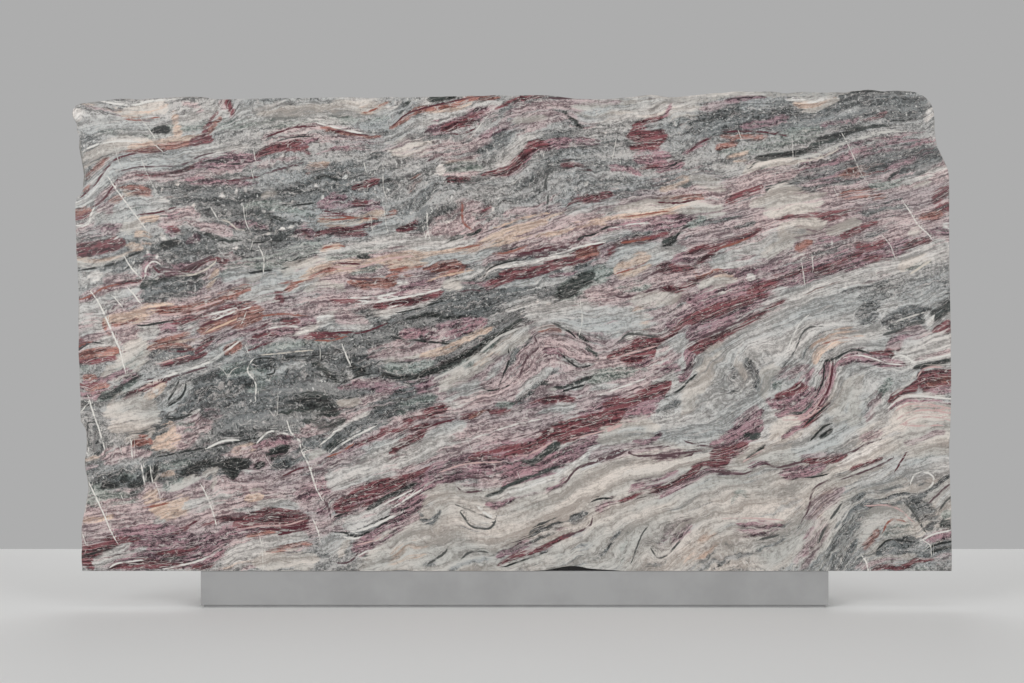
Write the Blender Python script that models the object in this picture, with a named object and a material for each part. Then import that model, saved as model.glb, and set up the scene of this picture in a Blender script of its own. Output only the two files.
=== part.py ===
"""A veined marble slab, sawn and polished, standing on its long edge on a low grey plinth.

Units are metres, +Z is up and the polished face looks along -Y. The origin is at the middle of the
object's footprint, on the floor. The slab is one stone with broken natural edges on its left, top and
right, and a sawn edge below. The plinth is one block with a recessed foot.
"""

import bmesh
import bpy
from mathutils import Vector, noise

# Driving dimensions of the slab
SLAB_WIDTH = 3.000
SLAB_THICKNESS = 0.020

# Driving dimensions of the plinth
PLINTH_LENGTH = 2.142
PLINTH_DEPTH = 0.400
PLINTH_HEIGHT = 0.125
PLINTH_ROUNDING = 0.0015
PLINTH_SHIFT = 0.009
FOOT_RECESS = 0.008
FOOT_HEIGHT = 0.008

# How the slab stands on the plinth
SLAB_PROUD_OF_PLINTH = 0.004
REST_GAP = 0.0003

# The outline is read from the slab's picture, in pixels, and PIXEL is one pixel's size on the real slab
OUTLINE_WIDTH_PX = 879.6
OUTLINE_MIDDLE_PX = 511.8
SAWN_EDGE_PX = 571.0
PIXEL = SLAB_WIDTH / OUTLINE_WIDTH_PX

# The broken right edge, from its foot up and round the corner
RIGHT_EDGE_PX = [
    (951.5, 571), (951.6, 556), (951.4, 540), (951.2, 522), (951, 505), (950.2, 490), (949.8, 478),
    (949.2, 466), (949, 455), (949.3, 444), (950, 430), (950.6, 412), (951, 395), (951, 370),
    (950.6, 352), (951.2, 338), (950.4, 318), (950, 298), (949.4, 272), (949.2, 245), (949, 215),
    (949.3, 198), (949, 184), (948.8, 177), (948, 170.5), (946, 165), (943, 158.5), (940, 152.5),
    (938, 148.5), (936.2, 143), (935.2, 136), (934.4, 129), (934.6, 123.5), (934.2, 117),
    (933.4, 111), (931.6, 105.5), (928.6, 100.6), (925, 97.2), (921, 94.6), (916, 92.4), (910, 91.2),
]

# The broken top edge, from right to left
TOP_EDGE_PX = [
    (910, 91.2), (902, 90.8), (895, 90.6), (889, 90.8), (883, 91.6), (877, 90.6), (870, 89.6),
    (863, 90), (857, 91), (851, 91), (846, 92.4), (834, 91.8), (826, 92.4), (815, 92), (803, 91.6),
    (795, 92.2), (788, 93), (781, 92.8), (776, 91.4), (765, 91.2), (750, 91.4), (738, 91.2),
    (731, 91.4), (726, 92.4), (715, 92.8), (704, 94), (694, 95), (684, 96.2), (674, 96.9),
    (664, 96.4), (657, 95), (650, 94.4), (643, 95.4), (634, 96.8), (622, 97.8), (608, 99),
    (596, 99.4), (582, 99), (572, 98.2), (562, 97), (552, 95.6), (541, 95), (530, 95), (520, 95.2),
    (511, 96), (502, 95.2), (492, 95.2), (481, 96), (471, 95.4), (461, 96.4), (452, 96.2),
    (440, 96.6), (425, 96.8), (405, 97.4), (388, 97), (370, 98), (350, 97.2), (330, 97.4),
    (305, 98), (280, 98), (258, 98.6), (240, 98.8), (226, 99.4), (213, 99), (206, 97.4),
    (196, 96.6), (184, 96.8), (172, 97.4), (160, 98.2), (148, 98.8), (138, 99.6), (128, 98.6),
    (116, 99), (106, 100.6), (96, 101.6), (88, 102.6),
]

# The broken left edge, from the top corner's knob down past two bites
LEFT_EDGE_PX = [
    (88, 102.6), (81, 103.4), (77, 104.8), (73.6, 108.2), (72, 112.6), (72.4, 117), (74.4, 120.6),
    (76.6, 123.6), (76.4, 127.6), (77.2, 132), (79, 135.6), (80, 141), (80.6, 148), (82, 156),
    (83.4, 164), (84.6, 172), (84.4, 180), (83, 188), (80.6, 193.6), (77.6, 196.8), (75.2, 199.8),
    (75, 206), (75.2, 222), (76, 240), (76, 254), (77.2, 264), (77.8, 280), (78.6, 298), (78, 318),
    (78.6, 336), (78.2, 352), (79.2, 368), (79.4, 384), (80.2, 396), (80.2, 408), (80.4, 417),
    (82.8, 423.4), (85.8, 429.6), (87, 437), (87, 446), (85.6, 454), (84.6, 462), (85.6, 471),
    (88, 480), (89, 488), (87.6, 495.6), (86, 503), (84.4, 511), (82.8, 518.6), (81.4, 526.6),
    (81, 535), (81.8, 545), (81.2, 556), (82, 571),
]

# Flakes lost from the sawn edge: how high the stone is missing at each place along it
SAWN_EDGE_FLAKES_PX = [
    (82, 0), (247, 0), (250, 0.6), (254, 0.7), (257, 0), (390, 0), (396, 0.7), (404, 1.1), (412, 0),
    (534, 0), (545, 0.8), (555, 2.4), (563, 4.3), (572, 5.2), (581, 4.3), (588, 2.5), (600, 1.6),
    (614, 0.8), (623, 0), (951.5, 0),
]

# Crushed white rim along the top edge: how far the polish stops short of the edge
TOP_RIM_PX = [
    (636, 0), (643, 1.5), (655, 2), (665, 1.5), (675, 4), (685, 6), (700, 8), (712, 8), (720, 6),
    (730, 5), (745, 5), (760, 4.5), (775, 6), (782, 3), (790, 3), (800, 6.5), (812, 7), (825, 5),
    (835, 3), (845, 2), (853, 0),
]

# Bites in the left edge, where the break leans out towards the back and leaves a dark rim
LEFT_BITES_PX = [
    (134, 0), (143, 1), (160, 1), (184, 1), (195, 0), (414, 0), (422, 1), (428, 0.4), (440, 0.7),
    (470, 0.5), (488, 0.8), (500, 0.5), (525, 0),
]

# How the edges are broken
OUTLINE_STEP = 0.0145
ARRIS = 0.0008
RIM_DEPTH = 0.011
CHIP_WIDTH = 0.0035
CHIPS_PER_METRE = 21.0
LEDGE_DEPTH = 0.0038
LEDGES_PER_METRE = 13.0
BITE_LEAN = 0.0085
TOP_FACING = 0.8

# The slab has six sections from front to back. The first three follow the polish's edge in these shares
# of its depth, and the last three lie at these shares of the slab's thickness.
EDGE_DEPTHS = [0.0, 0.35, 1.0]
BODY_DEPTHS = [0.64, 0.86, 1.0]

# A broken edge's sections: shares of the polish's setback and of the bite's lean, and the ledges' layer
BROKEN_SECTIONS = [(1.0, 0.0, 0), (0.45, 0.0, 0), (0.0, 0.0, 0), (0.0, 0.7, 1), (0.0, 1.0, 2), (0.0, 1.0, 3)]

# The sawn edge's sections: shares of the arris and of the flake's height
SAWN_SECTIONS = [(1.0, 1.0), (0.3, 1.0), (0.0, 1.0), (0.0, 1.0), (0.0, 0.9), (0.0, 0.15)]


def clear_scene():
    """Removes every object that the scene starts with."""
    for thing in list(bpy.data.objects):
        bpy.data.objects.remove(thing, do_unlink=True)


def stone_material(name, colour, roughness):
    """A Principled material of one colour."""
    material = bpy.data.materials.new(name)
    material.use_nodes = True
    shader = material.node_tree.nodes["Principled BSDF"]
    shader.inputs["Base Color"].default_value = (*colour, 1.0)
    shader.inputs["Roughness"].default_value = roughness
    shader.inputs["Metallic"].default_value = 0.0
    material.diffuse_color = (*colour, 1.0)
    return material


def value_along(table, at):
    """Reads a table of (place, value) pairs at one place, with straight lines between its rows."""
    if at <= table[0][0]:
        return table[0][1]
    for (a, low), (b, high) in zip(table, table[1:]):
        if at <= b:
            return low + (high - low) * (at - a) / (b - a)
    return table[-1][1]


def real_place(px):
    """A pixel of the outline as (across, up) in metres, from the middle of the sawn edge."""
    return Vector(((px[0] - OUTLINE_MIDDLE_PX) * PIXEL, (SAWN_EDGE_PX - px[1]) * PIXEL))


def smooth_run(points):
    """A Catmull-Rom curve through the points, drawn finely."""
    pieces_per_span = 6
    ends = [points[0] * 2 - points[1], *points, points[-1] * 2 - points[-2]]
    drawn = []
    for p0, p1, p2, p3 in zip(ends, ends[1:], ends[2:], ends[3:]):
        for k in range(pieces_per_span):
            t = k / pieces_per_span
            drawn.append(
                0.5 * (p1 * 2 + (p2 - p0) * t + (p0 * 2 - p1 * 5 + p2 * 4 - p3) * t**2
                       + (p1 * 3 - p0 - p2 * 3 + p3) * t**3)
            )
    return [*drawn, points[-1]]


def evenly_spaced(line, step):
    """Points at equal steps along a line, from its first point up to, but without, its last."""
    lengths = [0.0]
    for a, b in zip(line, line[1:]):
        lengths.append(lengths[-1] + (b - a).length)
    count = max(1, round(lengths[-1] / step))
    spaced = []
    span = 0
    for k in range(count):
        at = lengths[-1] * k / count
        while lengths[span + 1] < at:
            span += 1
        share = (at - lengths[span]) / (lengths[span + 1] - lengths[span])
        spaced.append(line[span].lerp(line[span + 1], share))
    return spaced


def slab_outline():
    """The slab's outline as (point, is_sawn) pairs, anticlockwise as seen from the front."""
    right = smooth_run([real_place(p) for p in RIGHT_EDGE_PX])
    top = smooth_run([real_place(p) for p in TOP_EDGE_PX])
    left = smooth_run([real_place(p) for p in LEFT_EDGE_PX])
    sawn = [left[-1], right[0]]
    outline = [(p, True) for p in evenly_spaced(sawn, OUTLINE_STEP)]
    for run in (right, top, left):
        outline += [(p, False) for p in evenly_spaced(run, OUTLINE_STEP)]
    return outline


def outward_normals(points):
    """The outward direction at each point of an anticlockwise outline."""
    normals = []
    for k in range(len(points)):
        along = points[(k + 1) % len(points)] - points[k - 1]
        normals.append(Vector((along.y, -along.x)).normalized())
    return normals


def ledge(distance, layer):
    """How far the break falls back from the outline, from 0 to LEDGE_DEPTH, in uneven ledges."""
    if layer == 0:
        return 0.0
    broad = noise.noise(Vector((distance * LEDGES_PER_METRE, layer * 3.7, 0.5)))
    fine = noise.noise(Vector((distance * LEDGES_PER_METRE * 3.1, layer * 5.3, 8.5)))
    return LEDGE_DEPTH * min(1.0, abs(broad * 1.5 + fine * 0.6))


def chip(distance):
    """How far small chips eat into the polished face's edge, from 0 to CHIP_WIDTH."""
    lump = noise.noise(Vector((distance * CHIPS_PER_METRE, 2.2, 4.4)))
    return CHIP_WIDTH * max(0.0, lump * 2.0 - 0.35)


def sawn_edge_profile(point):
    """The sawn edge's six places at one point of the outline, and how deep its polished edge goes."""
    flake = value_along(SAWN_EDGE_FLAKES_PX, point.x / PIXEL + OUTLINE_MIDDLE_PX) * PIXEL
    places = [point + Vector((0.0, ARRIS * arris + flake * height)) for arris, height in SAWN_SECTIONS]
    return places, ARRIS


def broken_edge_profile(point, normal, distance):
    """A broken edge's six places at one point of the outline, and how deep its polished edge goes."""
    on_top = normal.y > TOP_FACING
    on_left = point.x < 0 and not on_top
    rim = value_along(TOP_RIM_PX, point.x / PIXEL + OUTLINE_MIDDLE_PX) * PIXEL if on_top else 0.0
    lean = value_along(LEFT_BITES_PX, SAWN_EDGE_PX - point.y / PIXEL) * BITE_LEAN if on_left else 0.0
    setback = chip(distance) + rim
    places = [
        point + normal * (lean * lean_share - (ARRIS + setback) * setback_share - ledge(distance, layer))
        for setback_share, lean_share, layer in BROKEN_SECTIONS
    ]
    edge_depth = ARRIS + (RIM_DEPTH - ARRIS) * min(1.0, setback / (CHIP_WIDTH * 2))
    return places, edge_depth


def slab_sections():
    """The slab's closed outlines from its polished face to its back, each as a list of (x, y, z)."""
    outline = slab_outline()
    points = [p for p, _ in outline]
    normals = outward_normals(points)
    sections = [[] for _ in BROKEN_SECTIONS]
    distance = 0.0
    for k, (point, is_sawn) in enumerate(outline):
        distance += (point - points[k - 1]).length if k else 0.0
        if is_sawn:
            places, edge_depth = sawn_edge_profile(point)
        else:
            places, edge_depth = broken_edge_profile(point, normals[k], distance)
        depths = [edge_depth * share for share in EDGE_DEPTHS]
        depths += [SLAB_THICKNESS * share for share in BODY_DEPTHS]
        for section, place, depth in zip(sections, places, depths):
            section.append((place.x, depth, place.y))
    return sections


def loft(name, sections):
    """One closed mesh through sections of equal point counts, with a flat cap on the first and last."""
    shape = bmesh.new()
    rings = [[shape.verts.new(place) for place in section] for section in sections]
    for ring, following in zip(rings, rings[1:]):
        for k in range(len(ring)):
            n = (k + 1) % len(ring)
            shape.faces.new((ring[k], ring[n], following[n], following[k]))
    shape.faces.new(rings[0])
    shape.faces.new(rings[-1])
    bmesh.ops.recalc_face_normals(shape, faces=shape.faces)
    mesh = bpy.data.meshes.new(name)
    shape.to_mesh(mesh)
    shape.free()
    return mesh


def centred_across(sections):
    """The sections moved along X, so that the slab's widest points are as far left as right."""
    across = [x for section in sections for x, _, _ in section]
    middle = (min(across) + max(across)) / 2
    return [[(x - middle, y, z) for x, y, z in section] for section in sections]


def build_slab(collection, front):
    """The marble slab, standing on its sawn edge with its polished face at y = front."""
    mesh = loft("slab", centred_across(slab_sections()))
    slab = bpy.data.objects.new("slab", mesh)
    slab.location = (0.0, front, PLINTH_HEIGHT + REST_GAP)
    mesh.materials.append(stone_material("polished_marble", (0.33, 0.27, 0.26), 0.12))
    collection.objects.link(slab)
    return slab


def build_plinth(collection, front):
    """The plinth: a long block with eased edges, stepped in under its base to leave a dark gap."""
    body_height = PLINTH_HEIGHT - FOOT_HEIGHT
    shape = bmesh.new()
    bmesh.ops.create_cube(shape, size=1.0)
    bmesh.ops.scale(shape, vec=(PLINTH_LENGTH, PLINTH_DEPTH, body_height), verts=shape.verts)
    bmesh.ops.bevel(
        shape, geom=list(shape.edges), offset=PLINTH_ROUNDING, segments=2, profile=0.5, affect="EDGES"
    )
    underside = [face for face in shape.faces if face.normal.z < -0.999]
    bmesh.ops.inset_region(shape, faces=underside, thickness=FOOT_RECESS, use_even_offset=True)
    foot = bmesh.ops.extrude_face_region(shape, geom=underside)
    bmesh.ops.delete(shape, geom=underside, context="FACES_ONLY")
    lowered = [item for item in foot["geom"] if isinstance(item, bmesh.types.BMVert)]
    bmesh.ops.translate(shape, vec=(0.0, 0.0, -FOOT_HEIGHT), verts=lowered)
    bmesh.ops.recalc_face_normals(shape, faces=shape.faces)
    mesh = bpy.data.meshes.new("plinth")
    shape.to_mesh(mesh)
    shape.free()
    mesh.materials.append(stone_material("grey_concrete", (0.28, 0.28, 0.28), 0.55))
    plinth = bpy.data.objects.new("plinth", mesh)
    plinth.location = (PLINTH_SHIFT, front + PLINTH_DEPTH / 2, FOOT_HEIGHT + body_height / 2)
    collection.objects.link(plinth)
    return plinth


def main():
    """Builds the slab on its plinth, with the whole object's footprint centred on the origin."""
    clear_scene()
    collection = bpy.data.collections.new("marble_slab_on_plinth")
    bpy.context.scene.collection.children.link(collection)
    whole_depth = SLAB_PROUD_OF_PLINTH + PLINTH_DEPTH
    slab_front = -whole_depth / 2
    build_slab(collection, slab_front)
    build_plinth(collection, slab_front + SLAB_PROUD_OF_PLINTH)


main()
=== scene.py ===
"""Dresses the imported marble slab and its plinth, and shows them in a plain pale studio.

The slab's figure is laid down bed by bed: each bed names its stone, its half width and the line it
follows. Narrow beds become thin lines. All of them also steer the direction in which the stone's
fine laminae flow. The shader then breaks the beds into streaks, lines and flecks along that flow.
"""

import logging
import math
from dataclasses import dataclass
from enum import Enum
from typing import Sequence

import bpy
import numpy as np
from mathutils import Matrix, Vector


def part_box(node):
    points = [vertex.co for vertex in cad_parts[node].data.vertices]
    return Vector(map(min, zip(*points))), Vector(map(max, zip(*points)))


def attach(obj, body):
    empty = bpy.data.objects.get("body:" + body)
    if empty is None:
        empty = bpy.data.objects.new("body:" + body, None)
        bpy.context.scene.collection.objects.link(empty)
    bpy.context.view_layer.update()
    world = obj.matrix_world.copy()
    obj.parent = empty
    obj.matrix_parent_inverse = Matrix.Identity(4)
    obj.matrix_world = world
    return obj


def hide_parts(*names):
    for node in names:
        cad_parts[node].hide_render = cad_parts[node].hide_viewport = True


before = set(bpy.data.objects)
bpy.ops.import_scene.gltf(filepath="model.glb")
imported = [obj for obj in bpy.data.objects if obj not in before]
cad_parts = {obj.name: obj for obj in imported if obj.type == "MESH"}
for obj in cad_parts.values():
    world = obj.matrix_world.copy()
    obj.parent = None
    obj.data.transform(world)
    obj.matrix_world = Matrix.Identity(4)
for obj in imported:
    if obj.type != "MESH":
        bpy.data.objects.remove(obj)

LOG = logging.getLogger("marble_slab")
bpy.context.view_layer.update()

Array = np.ndarray
Point = tuple[float, float]
Triple = tuple[float, float, float]
Colour = Triple
Socket = bpy.types.NodeSocket

# The slab's figure is read in the pixels of its picture: its width there, its middle and its sawn edge
OUTLINE_WIDTH_PX = 879.6
OUTLINE_MIDDLE_PX = 511.8
SAWN_EDGE_PX = 571.0
PICTURE_WIDTH_PX = 1024
EYE_LEVEL_PX = 341.5
CHIP_ENDS_PX = (533.0, 626.0)
CHIP_HEIGHT_PX = 9.0
FLOOR_END_PX = 549.0


def srgb(code: str) -> Colour:
    """Turns a colour as written on screens into linear light.

    Args:
        code: Six hexadecimal digits.

    Returns:
        Red, green and blue, from 0 to 1.
    """
    parts = [int(code[k:k + 2], 16) / 255 for k in (0, 2, 4)]
    return tuple(p / 12.92 if p <= 0.04045 else ((p + 0.055) / 1.055) ** 2.4 for p in parts)


class Stone(Enum):
    """The kinds of stone that the slab is folded from."""

    ASH = 0
    SLATE = 1
    INK = 2
    PEARL = 3
    CREAM = 4
    CHALK = 5
    ROSE = 6
    PLUM = 7
    OXBLOOD = 8
    BRICK = 9
    PEACH = 10
    MOSS = 11


@dataclass(frozen=True)
class Tint:
    """How one kind of stone looks: its dark and light laminae, and its texture.

    Attributes:
        dark: The darkest laminae.
        light: The lightest laminae.
        swirl: How strongly its laminae are contorted, in pixels.
        fleck: How much of it is broken into pale and dark flecks.
        line: How strongly thin dark lines run through it.
        hold: The most of a place that its beds take over, so that streaks of the others show in them.
    """

    dark: Colour
    light: Colour
    swirl: float
    fleck: float
    line: float
    hold: float


TINTS: dict[Stone, Tint] = {
    Stone.ASH: Tint(srgb("545656"), srgb("b3b3b2"), 1.4, 0.8, 0.6, 0.88),
    Stone.SLATE: Tint(srgb("2c3031"), srgb("828484"), 1.4, 0.75, 0.6, 0.92),
    Stone.INK: Tint(srgb("0b0f0e"), srgb("3a413f"), 0.8, 0.3, 0.3, 0.95),
    Stone.PEARL: Tint(srgb("858482"), srgb("cbcac8"), 2.4, 0.25, 0.5, 0.84),
    Stone.CREAM: Tint(srgb("9b958f"), srgb("cfcac4"), 2.6, 0.1, 0.35, 0.84),
    Stone.CHALK: Tint(srgb("aaa4a0"), srgb("e6e2de"), 0.8, 0.1, 0.5, 0.72),
    Stone.ROSE: Tint(srgb("68565a"), srgb("c8b6b6"), 1.0, 0.35, 0.7, 0.84),
    Stone.PLUM: Tint(srgb("33212a"), srgb("a9878f"), 0.9, 0.4, 0.75, 0.95),
    Stone.OXBLOOD: Tint(srgb("31151b"), srgb("80494f"), 0.7, 0.15, 0.8, 0.97),
    Stone.BRICK: Tint(srgb("502824"), srgb("ad7b70"), 0.8, 0.15, 0.85, 0.9),
    Stone.PEACH: Tint(srgb("a08a7d"), srgb("dac3b2"), 1.2, 0.2, 0.6, 0.7),
    Stone.MOSS: Tint(srgb("47514d"), srgb("adb2ad"), 1.2, 0.6, 0.5, 0.88),
}


class Family(Enum):
    """The kinds of thin line, each named as the mesh layer that holds it."""

    DARK = "dark_lines"
    LIGHT = "light_lines"
    VEIN = "veins"


# How each stone looks as a thin line: its family, and its place along that family's palette
LINE_LOOKS: dict[Stone, tuple[Family, float]] = {
    Stone.INK: (Family.DARK, 0.0),
    Stone.MOSS: (Family.DARK, 0.15),
    Stone.SLATE: (Family.DARK, 0.25),
    Stone.PLUM: (Family.DARK, 0.5),
    Stone.OXBLOOD: (Family.DARK, 0.75),
    Stone.BRICK: (Family.DARK, 1.0),
    Stone.CHALK: (Family.LIGHT, 0.0),
    Stone.PEARL: (Family.LIGHT, 0.25),
    Stone.ASH: (Family.LIGHT, 0.25),
    Stone.CREAM: (Family.LIGHT, 0.5),
    Stone.ROSE: (Family.LIGHT, 0.75),
    Stone.PEACH: (Family.LIGHT, 1.0),
}
PALETTES: dict[Family, tuple[Colour, ...]] = {
    Family.DARK: tuple(srgb(code) for code in ("202322", "4a4b49", "533e43", "4f212b", "8a5347")),
    Family.LIGHT: tuple(srgb(code) for code in ("d6d3ce", "bfbcb7", "c8c0b5", "c2a5a1", "cdb09b")),
    Family.VEIN: (srgb("bfbbb5"), srgb("dcd9d3")),
}


@dataclass(frozen=True)
class Bed:
    """A bed, lens or thin line of one stone.

    Attributes:
        stone: What it is made of.
        half_width: Half its greatest thickness, in pixels.
        share: How much of the ground it takes over from the beds before it, from 0 to 1.
        path: The line it follows, in pixels, from left to right where it can.
    """

    stone: Stone
    half_width: float
    share: float
    path: tuple[Point, ...]


def read_points(words: Sequence[str]) -> tuple[Point, ...]:
    """Reads points that are written as across,down in pixels."""
    return tuple((float(across), float(down)) for across, down in (word.split(",") for word in words))


def read_beds(table: str) -> tuple[Bed, ...]:
    """Reads beds from rows of stone, half width, share and the path's points.

    Args:
        table: One bed a row.

    Returns:
        The beds, in the order in which they are laid.
    """
    rows = [row.split() for row in table.strip().splitlines()]
    return tuple(Bed(Stone[row[0]], float(row[1]), float(row[2]), read_points(row[3:])) for row in rows)


# The ground that everything else lies in
GROUND_BEDS = read_beds("""
ASH 60 1 70,140 300,130 500,140 700,130 955,140
ASH 60 1 70,240 300,220 500,190 955,190
ROSE 45 0.9 70,340 200,310 400,280 560,250 955,170
SLATE 60 1 150,440 300,400 420,340 520,310 600,290
ROSE 60 0.9 75,540 250,500 450,430 600,350 760,270 955,220
PEARL 90 1 560,480 700,420 820,380 960,330
CREAM 70 0.9 380,560 600,530 800,500 960,480
""")

# The band along the top, from the left
TOP_LEFT_BEDS = read_beds("""
PEARL 16 0.9 74,122 110,126 160,126 230,118 300,112 390,112
MOSS 6 0.5 100,132 150,134 200,126 390,118
CHALK 7 1 74,110 78,119
PEACH 3 0.7 82,104 125,111
ROSE 3 0.7 85,107 150,121
CREAM 6 0.9 122,113 168,108
PEACH 3 0.5 122,116 150,113 168,105
CHALK 1.5 0.9 100,101 118,104 135,105 150,101 178,99
BRICK 1.2 0.7 124,119 140,120 158,117
INK 3.5 1 153,131 161,129 169,130
ROSE 4 0.6 182,102 192,105 202,110
ROSE 6 0.6 222,98 232,116
OXBLOOD 3.4 1 226,99 233,115
CREAM 10 0.8 84,164 100,152 120,147 150,144
PEACH 6 1 130,148 155,146 205,136
PEACH 4 0.7 174,112 176,125 180,138
BRICK 4 0.9 84,192 98,178 112,161 128,154 150,149 180,146 200,142
BRICK 3 0.8 84,180 108,158
OXBLOOD 1.4 0.9 80,198 95,184 104,171 113,161 124,156 142,152 165,151
OXBLOOD 4.5 1 190,143 201,139 212,140
OXBLOOD 2.5 0.9 203,138 205,130 210,121 218,112
BRICK 2.5 0.8 207,134 221,116
CHALK 1.3 0.9 83,151 95,145 110,142 125,141 140,142
PEARL 8 1 75,206 88,200 97,190 113,167 125,162 165,162 200,154 245,147
CHALK 5 0.6 75,206 88,200 97,191 106,178
CHALK 3 0.5 165,164 196,158 205,155
PLUM 1.2 0.8 120,171 140,167 180,165 200,156 213,153
ROSE 7 0.8 118,180 145,176 175,178 205,172 240,170
OXBLOOD 2.2 0.9 135,174 150,176 178,173 202,161
PLUM 7 0.9 196,166 225,161 258,160
PLUM 5 0.8 185,180 215,184 258,182
OXBLOOD 1.6 0.8 228,181 258,177
INK 1.2 0.8 203,162 215,160 228,164 242,164
BRICK 5 0.8 120,186 132,190 145,192 152,197
PEACH 3 0.7 122,192 135,197 150,199
BRICK 5 0.7 104,210 112,202 122,196
ROSE 6 0.8 96,202 116,184
OXBLOOD 1.3 0.8 92,207 102,201 118,179
BRICK 2 0.7 153,201 175,198 196,202
SLATE 12 0.8 160,192 200,196 260,196 350,184 395,186
MOSS 5 0.5 130,206 150,205 175,207
CREAM 6 0.5 255,110 290,112 325,106
CHALK 2 0.6 252,112 286,100
CREAM 9 0.5 330,108 355,108 385,106
PEACH 5 0.6 358,110 375,106 391,100
BRICK 1.5 0.8 364,113 377,108 389,101
ROSE 9 0.7 262,142 290,136 320,134 390,146
OXBLOOD 1.3 0.9 266,137 292,128 314,126
BRICK 2.2 0.9 320,127 352,134 370,136 384,134
OXBLOOD 1 0.9 330,130 378,137
CHALK 1.2 0.9 317,123 355,132 374,134
OXBLOOD 4.5 1 256,155 268,150 298,145 308,147
PLUM 2 0.9 300,146 308,141 320,139
OXBLOOD 2.5 0.7 292,149 303,150 312,156
PLUM 1.8 0.9 314,155 333,149 348,147
INK 1 0.7 278,141 295,137 314,136
ROSE 4 0.7 258,166 300,158
PLUM 1.5 0.9 266,173 302,163
BRICK 5 0.6 304,169 316,168 327,165
PEACH 4.5 0.6 305,166 316,166 327,164
INK 2 0.7 314,179 325,175 336,180
OXBLOOD 3.6 1 352,187 370,184 378,180
CREAM 5 0.6 262,196 276,192
OXBLOOD 2.5 0.6 352,202 362,204 368,200
PLUM 4 0.6 322,206 332,198 345,194
SLATE 3 0.8 366,160 372,156 384,154
""")
TOP_MIDDLE_BEDS = read_beds("""
PEARL 9 0.9 388,136 425,119 475,108 500,104
ROSE 12 0.7 395,150 425,148 460,150 490,140
CREAM 10 0.6 390,150 410,148 430,144
CHALK 4 0.7 388,108 398,104
INK 2 0.8 398,115 410,100
CHALK 2.5 0.6 414,104 432,102
BRICK 3 1 391,128 412,113 425,109 455,105 468,99 500,97
OXBLOOD 1.1 0.9 392,126 414,111 474,97 496,95
PEACH 2 0.9 420,113 458,109 472,103
INK 3.5 1 428,100 457,97
PLUM 7 0.8 426,132 450,126 488,110
OXBLOOD 3.6 0.95 441,129 474,121
OXBLOOD 1.6 0.8 450,134 463,133 474,129
OXBLOOD 2 0.7 462,119 485,112
SLATE 3.5 0.7 422,141 440,138 472,140
ROSE 7 0.6 486,116 498,108
PLUM 4 0.6 478,138 508,124
SLATE 5 0.7 478,152 510,138
PLUM 1.6 0.9 428,161 443,154
PEACH 3 0.5 438,162 478,160
MOSS 6 0.7 444,168 482,167
CHALK 6 1 437,171 444,170
ROSE 14 0.85 503,124 530,116 565,110 600,118
OXBLOOD 1.8 0.9 496,109 516,99 548,96
CREAM 3.5 0.8 512,122 548,117
CREAM 12 0.9 574,106 600,110 640,108 700,108
PEARL 12 0.6 580,118 610,114 650,104 700,104
ROSE 3 0.7 548,103 620,101
PLUM 1.3 0.9 548,98 590,99
SLATE 4 0.8 542,138 572,133
INK 2 0.9 562,110 581,128
PLUM 2.2 0.9 664,118 671,104
PEARL 6 1 495,166 507,158 523,143 540,139
PLUM 6 0.9 505,175 522,162 530,150 545,145 570,143
OXBLOOD 4.5 1 482,176 508,170 518,162 531,147 548,145
INK 1.2 0.8 446,180 476,181
OXBLOOD 2.4 0.9 446,179 476,181
ROSE 3 0.7 444,176 480,173
SLATE 5 0.6 450,188 475,186 500,186
SLATE 9 0.6 505,200 530,190 548,172 570,162
SLATE 2 0.8 541,158 568,150
SLATE 1.6 0.8 547,208 548,195 545,183 549,172
BRICK 5 0.4 408,192 415,184 421,174
SLATE 3 0.8 420,206 427,195 437,184
OXBLOOD 4 0.7 634,127 645,122 662,117
OXBLOOD 7 0.95 628,137 645,134 666,137
OXBLOOD 6 0.9 630,147 660,143
PLUM 8 0.85 634,157 650,160 672,160
OXBLOOD 2.5 0.7 640,168 668,164
PLUM 5 0.8 658,170 684,163
INK 1.5 0.7 664,169 684,160
BRICK 3 0.5 678,126 692,122 702,124
PLUM 4 0.6 562,141 602,143
OXBLOOD 5 0.5 560,163 575,165 590,171
PLUM 4 0.6 608,166 625,168 642,173
OXBLOOD 5.5 1 566,211 582,202 611,194
""")
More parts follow.
